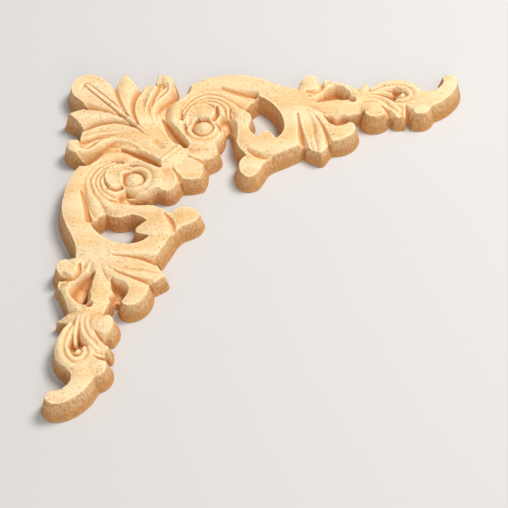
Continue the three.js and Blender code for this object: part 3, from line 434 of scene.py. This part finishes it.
def carved_height(u, v):
    """Drawn height of the face where u is not less than v: the highest strand, the eye's
    ball in its own round hollow, the hollows cut in, and the rib with its two grooves."""
    height = np.full(u.shape, FLOOR_HEIGHT)
    for section, fall, lean, points in STRANDS:
        line = batten(points)
        part = close_to(line, u, v, STRAND_REACH * line[:, 3].max() + 1)
        height[part] = np.maximum(
            height[part], strand_height(section, fall, lean, line, u[part], v[part]))
    eye = np.hypot(u - EYE[0], v - EYE[1]) / EYE_RADIUS
    socket = eye < SOCKET_SHARE
    height[socket] = np.minimum(height[socket], EYE_HEIGHT - SOCKET_DEPTH)
    height[socket] = np.maximum(height[socket], (EYE_HEIGHT - EYE_FALL * eye**2)[socket])
    for steep, points in HOLLOWS:
        line = batten(points)
        part = close_to(line, u, v, line[:, 3].max() + (DRAWN_THICKNESS - line[:, 2].min()) / steep)
        away, _, (floor, half) = nearest(line, u[part], v[part])
        height[part] = np.minimum(height[part], floor + np.maximum(0, away - half) * steep)
    away, _, (rib_height, half) = nearest(batten(RIB), u, v)
    across = away / half
    rib = np.where(across < 1, rib_height * (1 - across**2), 0)
    cut = GROOVE_DEPTH * rib_height
    groove = np.where((across >= 1) & (across < 2), cut * np.sin(math.pi * (across - 1)), 0)
    return np.minimum(height + rib - groove, DRAWN_THICKNESS)


def surface(u, v):
    """Height over any place of the drawing: the carved height, less the wall's fall beyond
    its upper edge. Below zero is outside the onlay."""
    along, across = np.maximum(u, v), np.minimum(u, v)
    fall = np.minimum(0, edge_distance(along, across)) * PLAN * WALL_SLOPE
    return carved_height(along, across) * RISE + fall

# %% [markdown]
# ## The mesh
# The face is a height over a plan, so a fine square grid carries it. Three things make it
# sharp: the grid's diagonals run the same way as the corner's, so both arms get the same
# facets; nodes near the walls' upper edge slide on to it; and at the foot of the walls the
# triangles are cut exactly where the height passes zero.

# %% Grid of the half plan, mirrored
GRID = 0.42
SLIDE_REACH = 0.45 * GRID
NEWTON_STEPS = 3
MARGIN = 4       # of the grid past the arm's end
WALL_REACH = 6   # further out than the foot of any wall
OUTSIDE = -99.0
count = math.ceil((DRAWN_ARM + MARGIN) / GRID)
grid_nodes = count * count
column, row = np.meshgrid(np.arange(count), np.arange(count), indexing="ij")
lower = column >= row
grid_u = (column * GRID).astype(float)
grid_v = (row * GRID).astype(float)


def slide(field, u, v, reach):
    """Moves places on to the zero line of `field` by Newton steps along its slope, each
    field / slope^2 long, where they end no further than `reach` from where they began."""
    at_u, at_v = u.copy(), v.copy()
    step = 0.02
    for _ in range(NEWTON_STEPS):
        value = field(at_u, at_v)
        slope_u = (field(at_u + step, at_v) - field(at_u - step, at_v)) / (2 * step)
        slope_v = (field(at_u, at_v + step) - field(at_u, at_v - step)) / (2 * step)
        steep = np.maximum(slope_u**2 + slope_v**2, 1e-6)
        at_u -= value * slope_u / steep
        at_v -= value * slope_v / steep
    good = np.hypot(at_u - u, at_v - v) < reach
    return np.where(good, at_u, u), np.where(good, at_v, v)


def folded_edge(u, v):
    """Distance to the walls' upper edge at any place of the drawing."""
    return edge_distance(np.maximum(u, v), np.minimum(u, v))


edge = np.full(grid_u.shape, OUTSIDE)
edge[lower] = edge_distance(grid_u[lower], grid_v[lower])
beside = lower & (np.abs(edge) < SLIDE_REACH)
grid_u[beside], grid_v[beside] = slide(folded_edge, grid_u[beside], grid_v[beside], SLIDE_REACH)

slid = edge.copy()
slid[beside] = edge_distance(grid_u[beside], grid_v[beside])
height = np.full(grid_u.shape, OUTSIDE)
wanted = lower & (edge > -WALL_REACH)
height[wanted] = surface(grid_u[wanted], grid_v[wanted])
print("places on the half plan:", int(wanted.sum()))

# %% The other half, and the triangles
upper = ~lower
grid_u, grid_v = np.where(upper, grid_v.T, grid_u), np.where(upper, grid_u.T, grid_v)
height = np.where(upper, height.T, height)
node = np.arange(grid_nodes).reshape(count, count)
a, b, c, d = node[:-1, :-1], node[1:, :-1], node[1:, 1:], node[:-1, 1:]
triangles = np.vstack([
    np.stack([a, b, c], axis=-1).reshape(-1, 3), np.stack([a, c, d], axis=-1).reshape(-1, 3)])
flat_u, flat_v, flat_height = grid_u.ravel(), grid_v.ravel(), height.ravel()
above = flat_height[triangles] > 0
triangles = triangles[above.any(axis=1)]
above = above[above.any(axis=1)]
print("triangles that reach above the back:", len(triangles))

# %% Cut at the foot of the walls
HALVINGS = 14
END_SHARE = 0.02


def foot_between(inner, outer):
    """Where the height is zero between a node above the back and one below it, found by
    halving the span again and again. Both ends of the span are left out, so that no two of
    the places fall together."""
    low, high = np.full(len(inner), END_SHARE), np.full(len(inner), 1 - END_SHARE)
    start = np.stack([flat_u[inner], flat_v[inner]])
    span = np.stack([flat_u[outer], flat_v[outer]]) - start
    for _ in range(HALVINGS):
        middle = (low + high) / 2
        here = start + span * middle
        over = surface(here[0], here[1]) > 0
        low, high = np.where(over, middle, low), np.where(over, high, middle)
    return start + span * low


whole = above.all(axis=1)
faces = [triangles[whole]]
cut_triangles, cut_above = triangles[~whole], above[~whole]

# Each cut triangle is turned so that the node alone on its side comes first
alone = np.where(cut_above.sum(axis=1) == 1, cut_above.argmax(axis=1), (~cut_above).argmax(axis=1))
turn = (alone[:, None] + np.arange(3)) % 3
cut_triangles = np.take_along_axis(cut_triangles, turn, axis=1)
first_above = np.take_along_axis(cut_above, turn, axis=1)[:, 0]

pairs = np.vstack([cut_triangles[:, [0, 1]], cut_triangles[:, [0, 2]]])
first = np.concatenate([first_above, first_above])
inner = np.where(first, pairs[:, 0], pairs[:, 1])
outer = np.where(first, pairs[:, 1], pairs[:, 0])
keys, where = np.unique(inner * grid_nodes + outer, return_inverse=True)
feet = foot_between(keys // grid_nodes, keys % grid_nodes)
foot = where.ravel() + grid_nodes
on_first, on_second = foot[: len(cut_triangles)], foot[len(cut_triangles):]
tips = first_above
faces.append(np.stack([cut_triangles[tips, 0], on_first[tips], on_second[tips]], axis=1))
faces.append(np.stack([on_first[~tips], cut_triangles[~tips, 1], cut_triangles[~tips, 2]], axis=1))
faces.append(np.stack([on_first[~tips], cut_triangles[~tips, 2], on_second[~tips]], axis=1))
faces = np.vstack(faces)
plan_u = np.concatenate([flat_u, feet[0]])
plan_v = np.concatenate([flat_v, feet[1]])
rise = np.concatenate([flat_height, np.zeros(feet.shape[1])])
print("triangles on the face and walls:", len(faces))

# %% [markdown]
# ## The flat back
# The back is glued down, so it is one plane. Its edge is the row of cut places, and a
# triangulation that must keep those edges fills it without new points.

# %% Fill the back
# Blender's number for triangles inside the rim only, and the gap under which two corners
# would be taken for one, in drawn millimetres
INSIDE_RIM = 2
SAME_PLACE = 1e-7


def named(sides, count):
    """One whole number for each directed side."""
    return sides[:, 0] * count + sides[:, 1]


def without_openings(flat, rim_edges):
    """The triangles of the body. Those in an opening run along a rim edge the wrong way
    round, or reach one that does without crossing the rim."""
    sides = np.vstack([flat[:, [0, 1]], flat[:, [1, 2]], flat[:, [2, 0]]])
    count = int(sides.max()) + 1
    forward, backward = named(sides, count), named(sides[:, ::-1], count)
    rim_forward, rim_backward = named(rim_edges, count), named(rim_edges[:, ::-1], count)
    order = np.argsort(forward)
    match = order[np.minimum(np.searchsorted(forward, backward, sorter=order), len(order) - 1)]
    own = np.arange(len(sides)) % len(flat)
    on_rim = np.isin(forward, rim_forward) | np.isin(forward, rim_backward)
    alone = on_rim | (forward[match] != backward)
    beside = np.where(alone, own, match % len(flat)).reshape(3, -1)
    opening = np.isin(forward, rim_backward).reshape(3, -1).any(axis=0)
    grown = opening | opening[beside].any(axis=0)
    while (grown != opening).any():
        opening, grown = grown, grown | grown[beside].any(axis=0)
    return flat[~opening]


used, faces = np.unique(faces, return_inverse=True)
faces = faces.reshape(-1, 3)
plan_u, plan_v, rise = plan_u[used], plan_v[used], rise[used]
sides = np.vstack([faces[:, [0, 1]], faces[:, [1, 2]], faces[:, [2, 0]]])
rim_sides = sides[~np.isin(named(sides, len(used)), named(sides[:, ::-1], len(used)))]
rim_nodes, rim_edges = np.unique(rim_sides, return_inverse=True)
rim_edges = rim_edges.reshape(-1, 2)
filled = delaunay_2d_cdt(
    [Vector((u, v)) for u, v in zip(plan_u[rim_nodes].tolist(), plan_v[rim_nodes].tolist())],
    rim_edges.tolist(), [], INSIDE_RIM, SAME_PLACE)
back = rim_nodes[without_openings(np.array(filled[2]), rim_edges)]
print("foot edges:", len(rim_edges), "back triangles:", len(back),
      "new points:", len(filled[0]) - len(rim_nodes))

# %% [markdown]
# ## Into Blender
# The drawing's `u` runs along +X and its `v` along -Y, with the onlay's square centred on
# the origin and its back on z = 0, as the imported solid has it.

# %% Mesh of the onlay
MM_PER_M = 1000
center = np.array(solid_box[0]) / 2 + np.array(solid_box[1]) / 2
span = MM_PER_M * (np.array(solid_box[1]) - np.array(solid_box[0]))
low_u, high_u = plan_u.min(), plan_u.max()
middle = (low_u + high_u) / 2
across_mm = (high_u - low_u) * PLAN
fit = min(1.0, span[0] / across_mm)
x = ((plan_u - middle) * PLAN * fit) / MM_PER_M + center[0]
y = -((plan_v - middle) * PLAN * fit) / MM_PER_M + center[1]
z = np.minimum(np.maximum(rise, 0), span[2]) / MM_PER_M
print("width of the carving, mm:", round(across_mm, 3), "of the solid, mm:", round(float(span[0]), 3))

# %% The hand of the carver
# No gouge leaves a true face. Long shallow waves lower it by up to SWAY millimetres, and
# fade to nothing down the lowest FADE_HEIGHT metres of the walls.
SWAY = 0.22
FADE_HEIGHT = 0.006
# Each wave's pitch, then its two bends as [size, pitch along u, pitch along v]
WAVE_ALONG = 0.62, [1.9, 0, 0.17], [0.8, 0.41, 0.33]
WAVE_ACROSS = 0.71, [1.6, 0.21, 0], [0.7, -0.29, 0.37]


def bent_wave(place, pitch, *bends):
    """The sine of pitch times place, to which each bend adds its size times the sine of its
    own pitches times u and v."""
    phase = pitch * place
    for size, pitch_u, pitch_v in bends:
        phase = phase + size * np.sin(pitch_u * plan_u + pitch_v * plan_v)
    return np.sin(phase)


waves = (1 + bent_wave(plan_u, *WAVE_ALONG) * bent_wave(plan_v, *WAVE_ACROSS)) / 2
z -= SWAY / MM_PER_M * waves * np.clip(z / FADE_HEIGHT, 0, 1)


# %% Into one piece, the face smooth and the back flat
def build_mesh(name, corners, loops):
    """A mesh from rows of corners and rows of three node numbers each."""
    mesh = bpy.data.meshes.new(name)
    mesh.vertices.add(len(corners))
    mesh.vertices.foreach_set("co", corners.astype(np.float32).ravel())
    mesh.loops.add(loops.size)
    mesh.loops.foreach_set("vertex_index", loops.astype(np.int32).ravel())
    mesh.polygons.add(len(loops))
    mesh.polygons.foreach_set("loop_start", np.arange(0, loops.size, 3, dtype=np.int32))
    mesh.update(calc_edges=True)
    mesh.validate()
    piece = bpy.data.objects.new(name, mesh)
    bpy.context.scene.collection.objects.link(piece)
    return piece


def upward(corners, loops):
    """Twice each triangle's area seen from above, positive where it faces up."""
    one = corners[loops[:, 1]] - corners[loops[:, 0]]
    two = corners[loops[:, 2]] - corners[loops[:, 0]]
    return one[:, 0] * two[:, 1] - one[:, 1] * two[:, 0]


corners = np.stack([x, y, z], axis=1)
face_up = upward(corners, faces).sum() > 0
faces = faces if face_up else faces[:, ::-1]
back_up = upward(corners, back).sum() > 0
back = back[:, ::-1] if back_up else back
onlay = build_mesh("carved_onlay", corners, np.vstack([faces, back]))
is_back = np.arange(len(faces) + len(back)) >= len(faces)
onlay.data.polygons.foreach_set("use_smooth", ~is_back)
onlay.data.polygons.foreach_set("material_index", is_back.astype(np.int32))
print("triangles in all:", len(onlay.data.polygons))

# %% [markdown]
# ## Painted light and shade
# The material paints pale highlights on the ridges, and a warm painted shade in the valleys,
# the creases and on the walls. How far a place lies below the level round it, and which places belong
# to the walls, are kept on the mesh as attributes that the material reads.

# %% Attributes: valley, ridge and wall
NEAR_ROUNDS = 8
WIDE_ROUNDS = 70
LEAST_WEIGHT = 0.05
RIDGE_GAIN = 0.9     # for each millimetre above the level near by
VALLEY_DEPTH = 3.2   # millimetres under the level further round that count as a full valley
WALL_BLEND = 0.5     # drawn millimetres over which the face turns into the wall
FOOT_VALUE = 0.5


def smoothed(values, times):
    """The values mixed with their four neighbours, `times` times over: a third of the place
    itself and a sixth of each neighbour."""
    for _ in range(times):
        wide = np.pad(values, 1, mode="edge")
        neighbours = wide[:-2, 1:-1] + wide[2:, 1:-1] + wide[1:-1, :-2] + wide[1:-1, 2:]
        values = (values + neighbours / 2) / 3
    return values


def level_round(times):
    """Mean height of the onlay round each place, leaving out what lies outside it."""
    return smoothed(inside, times) / np.maximum(smoothed(weight, times), LEAST_WEIGHT)


inside = np.where(height > 0, height, 0)
weight = (height > 0).astype(float)
ridge = np.clip(0.5 + (inside - level_round(NEAR_ROUNDS)) * RIDGE_GAIN, 0, 1)
valley = np.clip((level_round(WIDE_ROUNDS) - inside) / VALLEY_DEPTH, 0, 1)
wall = np.clip(0.5 - np.where(lower, edge, edge.T) / WALL_BLEND, 0, 1)


def keep(name, grid_values):
    """Puts a value of the grid on the mesh, and FOOT_VALUE on the cut places at the foot."""
    values = np.concatenate([grid_values.ravel(), np.full(feet.shape[1], FOOT_VALUE)])[used]
    attribute = onlay.data.attributes.new(name, "FLOAT", "POINT")
    attribute.data.foreach_set("value", values.astype(np.float32))


keep("ridge", ridge)
keep("valley", valley)
keep("wall", np.where(weight > 0, wall, 1))
print("valley mean", round(float(valley[height > 0].mean()), 3))

# %% Sharp edges where the face breaks off to the walls
ON_EDGE = 0.03
slid_on = np.abs(np.where(lower, slid, slid.T)) < ON_EDGE
on_edge = np.concatenate([slid_on.ravel(), np.zeros(feet.shape[1], bool)])[used]
ends = np.empty(2 * len(onlay.data.edges), dtype=np.int32)
onlay.data.edges.foreach_get("vertices", ends)
crisp = on_edge[ends.reshape(-1, 2)].all(axis=1)
onlay.data.attributes.new("sharp_edge", "BOOLEAN", "EDGE").data.foreach_set("value", crisp)
print("sharp edges:", int(crisp.sum()))

# %% [markdown]
# ## Wood
# The wood is pale and close-grained, like rubberwood or basswood, with short dark pores.
# Its grain runs along one arm, because the onlay is cut from one board. Colour comes from
# long soft bands; the pores are a fine noise stretched along the grain. The face and the
# sawn back use the same wood, so the bands and pores are a node group.

# %% Helpers for node trees
def calculate(tree, operation, first, second, clamp=False):
    """A Math node; each side is a socket or a number."""
    node = tree.nodes.new("ShaderNodeMath")
    node.operation = operation
    node.use_clamp = clamp
    for socket, value in zip(node.inputs, (first, second)):
        if isinstance(value, (int, float)):
            socket.default_value = value
        else:
            tree.links.new(value, socket)
    return node.outputs[0]


def product(tree, first, *others):
    """Sockets and numbers multiplied together."""
    for other in others:
        first = calculate(tree, "MULTIPLY", first, other)
    return first


def swing(tree, field, share):
    """How far the field is from its middle value, 0.5, times the share."""
    return product(tree, calculate(tree, "SUBTRACT", field, 0.5), share)


def blend_colors(tree, factor, first, second):
    """A colour Mix node; the factor is a socket, each side a socket or a colour."""
    node = tree.nodes.new("ShaderNodeMix")
    node.data_type = "RGBA"
    for socket, value in ((node.inputs[0], factor), (node.inputs[6], first), (node.inputs[7], second)):
        if isinstance(value, tuple):
            socket.default_value = (*value, 1)
        else:
            tree.links.new(value, socket)
    return node.outputs[2]


def spread(tree, value, low, high):
    """Map Range: the value from low..high on to 0..1, kept inside."""
    node = tree.nodes.new("ShaderNodeMapRange")
    tree.links.new(value, node.inputs["Value"])
    node.inputs["From Min"].default_value = low
    node.inputs["From Max"].default_value = high
    return node.outputs["Result"]


def noise(tree, place, field):
    """Noise of one of the fields below. Its stretch multiplies the place along each axis, so
    that less than 1 draws the lumps out."""
    scale, detail, roughness, stretch = field
    mapping = tree.nodes.new("ShaderNodeMapping")
    mapping.inputs["Scale"].default_value = stretch
    tree.links.new(place, mapping.inputs["Vector"])
    node = tree.nodes.new("ShaderNodeTexNoise")
    node.inputs["Scale"].default_value = scale
    node.inputs["Detail"].default_value = detail
    node.inputs["Roughness"].default_value = roughness
    tree.links.new(mapping.outputs["Vector"], node.inputs["Vector"])
    return node.outputs["Fac"]

# %% Noise fields, each (lumps to the metre, detail, roughness, stretch)
BANDS = (60, 3.0, 0.55, (0.25, 1.6, 1.6))
FIBRES = (1100, 2.0, 0.5, (0.12, 1, 1))
FLECKS = (1700, 1.0, 0.4, (0.5, 1, 1))
PATCHES = (55, 2.0, 0.5, (1, 1, 1))
STREAKS = (1500, 2.0, 0.6, (1, 1, 0.16))
ROUGH_GROUND = (900, 3.0, 0.6, (1, 1, 1))
CHATTER = (420, 2.0, 0.5, (1, 1, 1))
STROKES = (1500, 1.0, 0.5, (1, 0.22, 0.5))
SAW_MARKS = (260, 2.0, 0.5, (0.06, 2.4, 1))

# %% Node group: bands and pores of the board
FIBRE_SHARE = 0.35
PATCH_SHARE = 0.18
PORE_SPAN = (0.63, 0.70)

board = bpy.data.node_groups.new("board_grain", "ShaderNodeTree")
board.interface.new_socket("Place", in_out="INPUT", socket_type="NodeSocketVector")
board.interface.new_socket("Bands", in_out="OUTPUT", socket_type="NodeSocketFloat")
board.interface.new_socket("Pores", in_out="OUTPUT", socket_type="NodeSocketFloat")
board_in = board.nodes.new("NodeGroupInput")
board_out = board.nodes.new("NodeGroupOutput")
place = board_in.outputs["Place"]
fibres = swing(board, noise(board, place, FIBRES), FIBRE_SHARE)
bands = calculate(board, "ADD", noise(board, place, BANDS), fibres, clamp=True)
board.links.new(bands, board_out.inputs["Bands"])
patches = swing(board, noise(board, place, PATCHES), PATCH_SHARE)
flecks = calculate(board, "ADD", noise(board, place, FLECKS), patches)
board.links.new(spread(board, flecks, *PORE_SPAN), board_out.inputs["Pores"])
print("node group:", board.name)

# %% What both materials share
def wood_material(name):
    """A new material with the board's bands and pores, and its Principled shader."""
    material = bpy.data.materials.new(name)
    material.use_nodes = True
    tree = material.node_tree
    shader = tree.nodes["Principled BSDF"]
    where = tree.nodes.new("ShaderNodeTexCoord").outputs["Object"]
    grain = tree.nodes.new("ShaderNodeGroup")
    grain.node_tree = board
    tree.links.new(where, grain.inputs["Place"])
    return material, tree, shader, where, grain


def finish_wood(tree, shader, color, relief, strength, depth, roughness, specular):
    """The shader's colour, bump and gloss; a relief of 1 stands `depth` metres high."""
    bump = tree.nodes.new("ShaderNodeBump")
    bump.inputs["Strength"].default_value = strength
    bump.inputs["Distance"].default_value = depth
    tree.links.new(color, shader.inputs["Base Color"])
    tree.links.new(relief, bump.inputs["Height"])
    tree.links.new(bump.outputs["Normal"], shader.inputs["Normal"])
    shader.inputs["Roughness"].default_value = roughness
    shader.inputs["Specular IOR Level"].default_value = specular


def attribute(tree, name):
    """The value of one of the mesh's attributes."""
    node = tree.nodes.new("ShaderNodeAttribute")
    node.attribute_name = name
    return node.outputs["Fac"]


DARK_PORE = (0.42, 0.20, 0.07)

# %% Material: carved face and walls
PALE_WOOD = (0.79, 0.50, 0.23)
CREAM_WOOD = (0.88, 0.66, 0.39)
# Painted shade: warm brown laid where valleys, creases, walls and rough ground lie in shade
PAINTED_SHADE_WOOD = (0.62, 0.27, 0.075)
# Painted highlight: pale cream laid on the ridges, where light catches the crests
PAINTED_HIGHLIGHT_WOOD = (0.92, 0.73, 0.45)
STREAK_WOOD = (0.46, 0.22, 0.07)
# The part of each field's range that is spread from nothing to full
BAND_SPAN = (0.35, 0.65)
VALLEY_SPAN = (0.03, 0.55)
CREASE_SPAN = (0.02, 0.3)
RIDGE_SPAN = (0.52, 0.8)
STREAK_SPAN = (0.46, 0.64)
GROUND_SPAN = (0.5, 0.68)
WALL_COVER = 0.9

carved, tree, shader, where, grain = wood_material("carved_wood")
base = blend_colors(tree, spread(tree, grain.outputs["Bands"], *BAND_SPAN), PALE_WOOD, CREAM_WOOD)
deep = attribute(tree, "valley")
ridges = attribute(tree, "ridge")
walls = attribute(tree, "wall")
open_face = calculate(tree, "SUBTRACT", 1.0, product(tree, walls, WALL_COVER))
# Painted shade in the creases, where the ridge measure falls below its middle
crease = spread(tree, calculate(tree, "SUBTRACT", 0.5, ridges), *CREASE_SPAN)
streaks = noise(tree, where, STREAKS)
# Rough ground in the valleys, scaled by their depth: its dents are real, its darker colour is painted
# shade
rough_ground_and_shade = product(tree, spread(tree, noise(tree, where, ROUGH_GROUND), *GROUND_SPAN), deep)

# Where each tint lies over the ones before it, and how much of it is laid on
for mask, share, tint in (
        # painted shade, deepest in the valleys and weaker on the walls
        (product(tree, spread(tree, deep, *VALLEY_SPAN), open_face), 0.85, PAINTED_SHADE_WOOD),
        # painted shade in the creases
        (crease, 0.6, PAINTED_SHADE_WOOD),
        # painted highlight on the ridges, weaker on the walls
        (product(tree, spread(tree, ridges, *RIDGE_SPAN), open_face), 0.8, PAINTED_HIGHLIGHT_WOOD),
        # painted shade over all the walls, which face away from the light
        (walls, 0.42, PAINTED_SHADE_WOOD),
        (product(tree, spread(tree, streaks, *STREAK_SPAN), walls), 0.72, STREAK_WOOD),
        # rough ground tinted darker the deeper it lies: real rough ground with painted shade
        (rough_ground_and_shade, 0.6, PAINTED_SHADE_WOOD),
        (grain.outputs["Pores"], 0.6, DARK_PORE)):
    base = blend_colors(tree, product(tree, mask, share), base, tint)

# How far each mark stands out of the surface, or goes into it where the number is negative
relief = 0.0
for mark, amount in (
        (grain.outputs["Bands"], 0.25),
        (grain.outputs["Pores"], -0.5),
        (noise(tree, where, CHATTER), 0.6),
        (noise(tree, where, STROKES), 0.9),
        (rough_ground_and_shade, -1.5),
        (product(tree, streaks, walls), 1.6)):
    relief = calculate(tree, "ADD", relief, product(tree, mark, amount))

finish_wood(tree, shader, base, relief, strength=0.5, depth=0.0005, roughness=0.7, specular=0.3)
onlay.data.materials.append(carved)

# %% [markdown]
# ## Sawn back
# Nobody sees the back once it is glued. It keeps the faint straight marks of the saw,
# which also give the glue a hold.

# %% Material: sawn back
SAWN_WOOD = (0.74, 0.50, 0.27)
SAWN_CREAM = (0.84, 0.63, 0.38)
SAW_BROWN = (0.55, 0.34, 0.17)
SAW_SPAN = (0.5, 0.62)
SAW_SHARE = 0.3
PORE_SHARE = 0.5

sawn, tree, shader, where, grain = wood_material("sawn_back")
saw = noise(tree, where, SAW_MARKS)
base = blend_colors(tree, grain.outputs["Bands"], SAWN_WOOD, SAWN_CREAM)
base = blend_colors(tree, product(tree, spread(tree, saw, *SAW_SPAN), SAW_SHARE), base, SAW_BROWN)
base = blend_colors(tree, product(tree, grain.outputs["Pores"], PORE_SHARE), base, DARK_PORE)
finish_wood(tree, shader, base, saw, strength=0.4, depth=0.0004, roughness=0.85, specular=0.25)
onlay.data.materials.append(sawn)

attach(onlay, "root")
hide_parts("corner_onlay")

# %% [markdown]
# ## Floor, light and camera
# The onlay lies face up on a plain pale floor. A soft lamp stands high behind it and to
# the right, so that the walls and valleys that face left fall into shade, and a broad
# weaker lamp in front keeps the near walls tan.

# %% Floor
FLOOR_HALF = 3       # metres from its middle to its sides
FLOOR_DROP = 0.0002  # metres under the back, so that the two planes don't meet

floor_mesh = bpy.data.meshes.new("floor")
floor_corners = [(FLOOR_HALF * x, FLOOR_HALF * y, 0) for x, y in ((-1, -1), (1, -1), (1, 1), (-1, 1))]
floor_mesh.from_pydata(floor_corners, [], [(0, 1, 2, 3)])
floor = bpy.data.objects.new("floor", floor_mesh)
floor.location = (0, 0, -FLOOR_DROP)
bpy.context.scene.collection.objects.link(floor)
paper = bpy.data.materials.new("pale_floor")
paper.use_nodes = True
paper.node_tree.nodes["Principled BSDF"].inputs["Base Color"].default_value = (0.62, 0.61, 0.60, 1)
paper.node_tree.nodes["Principled BSDF"].inputs["Roughness"].default_value = 0.9
floor_mesh.materials.append(paper)


# %% Lights
def soft_lamp(name, place, size, watts, color):
    """A square lamp at `place`, facing the onlay."""
    lamp = bpy.data.lights.new(name, "AREA")
    lamp.size = size
    lamp.energy = watts
    lamp.color = color
    holder = bpy.data.objects.new(name, lamp)
    holder.location = place
    holder.rotation_euler = (-Vector(place)).to_track_quat("-Z", "Y").to_euler()
    bpy.context.scene.collection.objects.link(holder)


soft_lamp("key", place=(0.5, 0.3, 1.05), size=0.4, watts=13, color=(1.0, 0.98, 0.95))
soft_lamp("fill", place=(0.3, -1.3, 0.9), size=1.2, watts=8, color=(1.0, 0.99, 0.98))
world = bpy.data.worlds.new("studio")
bpy.context.scene.world = world
world.use_nodes = True
world.node_tree.nodes["Background"].inputs["Color"].default_value = (1, 1, 1, 1)
world.node_tree.nodes["Background"].inputs["Strength"].default_value = 0.4

# %% Plain colours in the picture
# The Standard view keeps the yellow of the wood, which the default one washes out
bpy.context.scene.view_settings.view_transform = "Standard"

# %% Camera
camera_data = bpy.data.cameras.new("camera")
camera = bpy.data.objects.new("camera", camera_data)
camera.location = (-0.0083, -0.4579, 0.6073)
camera.rotation_euler = Vector((0, 0.602, -0.799)).to_track_quat("-Z", "Y").to_euler()
camera_data.lens = 113.4
camera_data.sensor_width = 36
camera_data.shift_x = 0.0118
camera_data.shift_y = -0.0258
camera_data.clip_start = 0.01
bpy.context.scene.collection.objects.link(camera)
bpy.context.scene.camera = camera
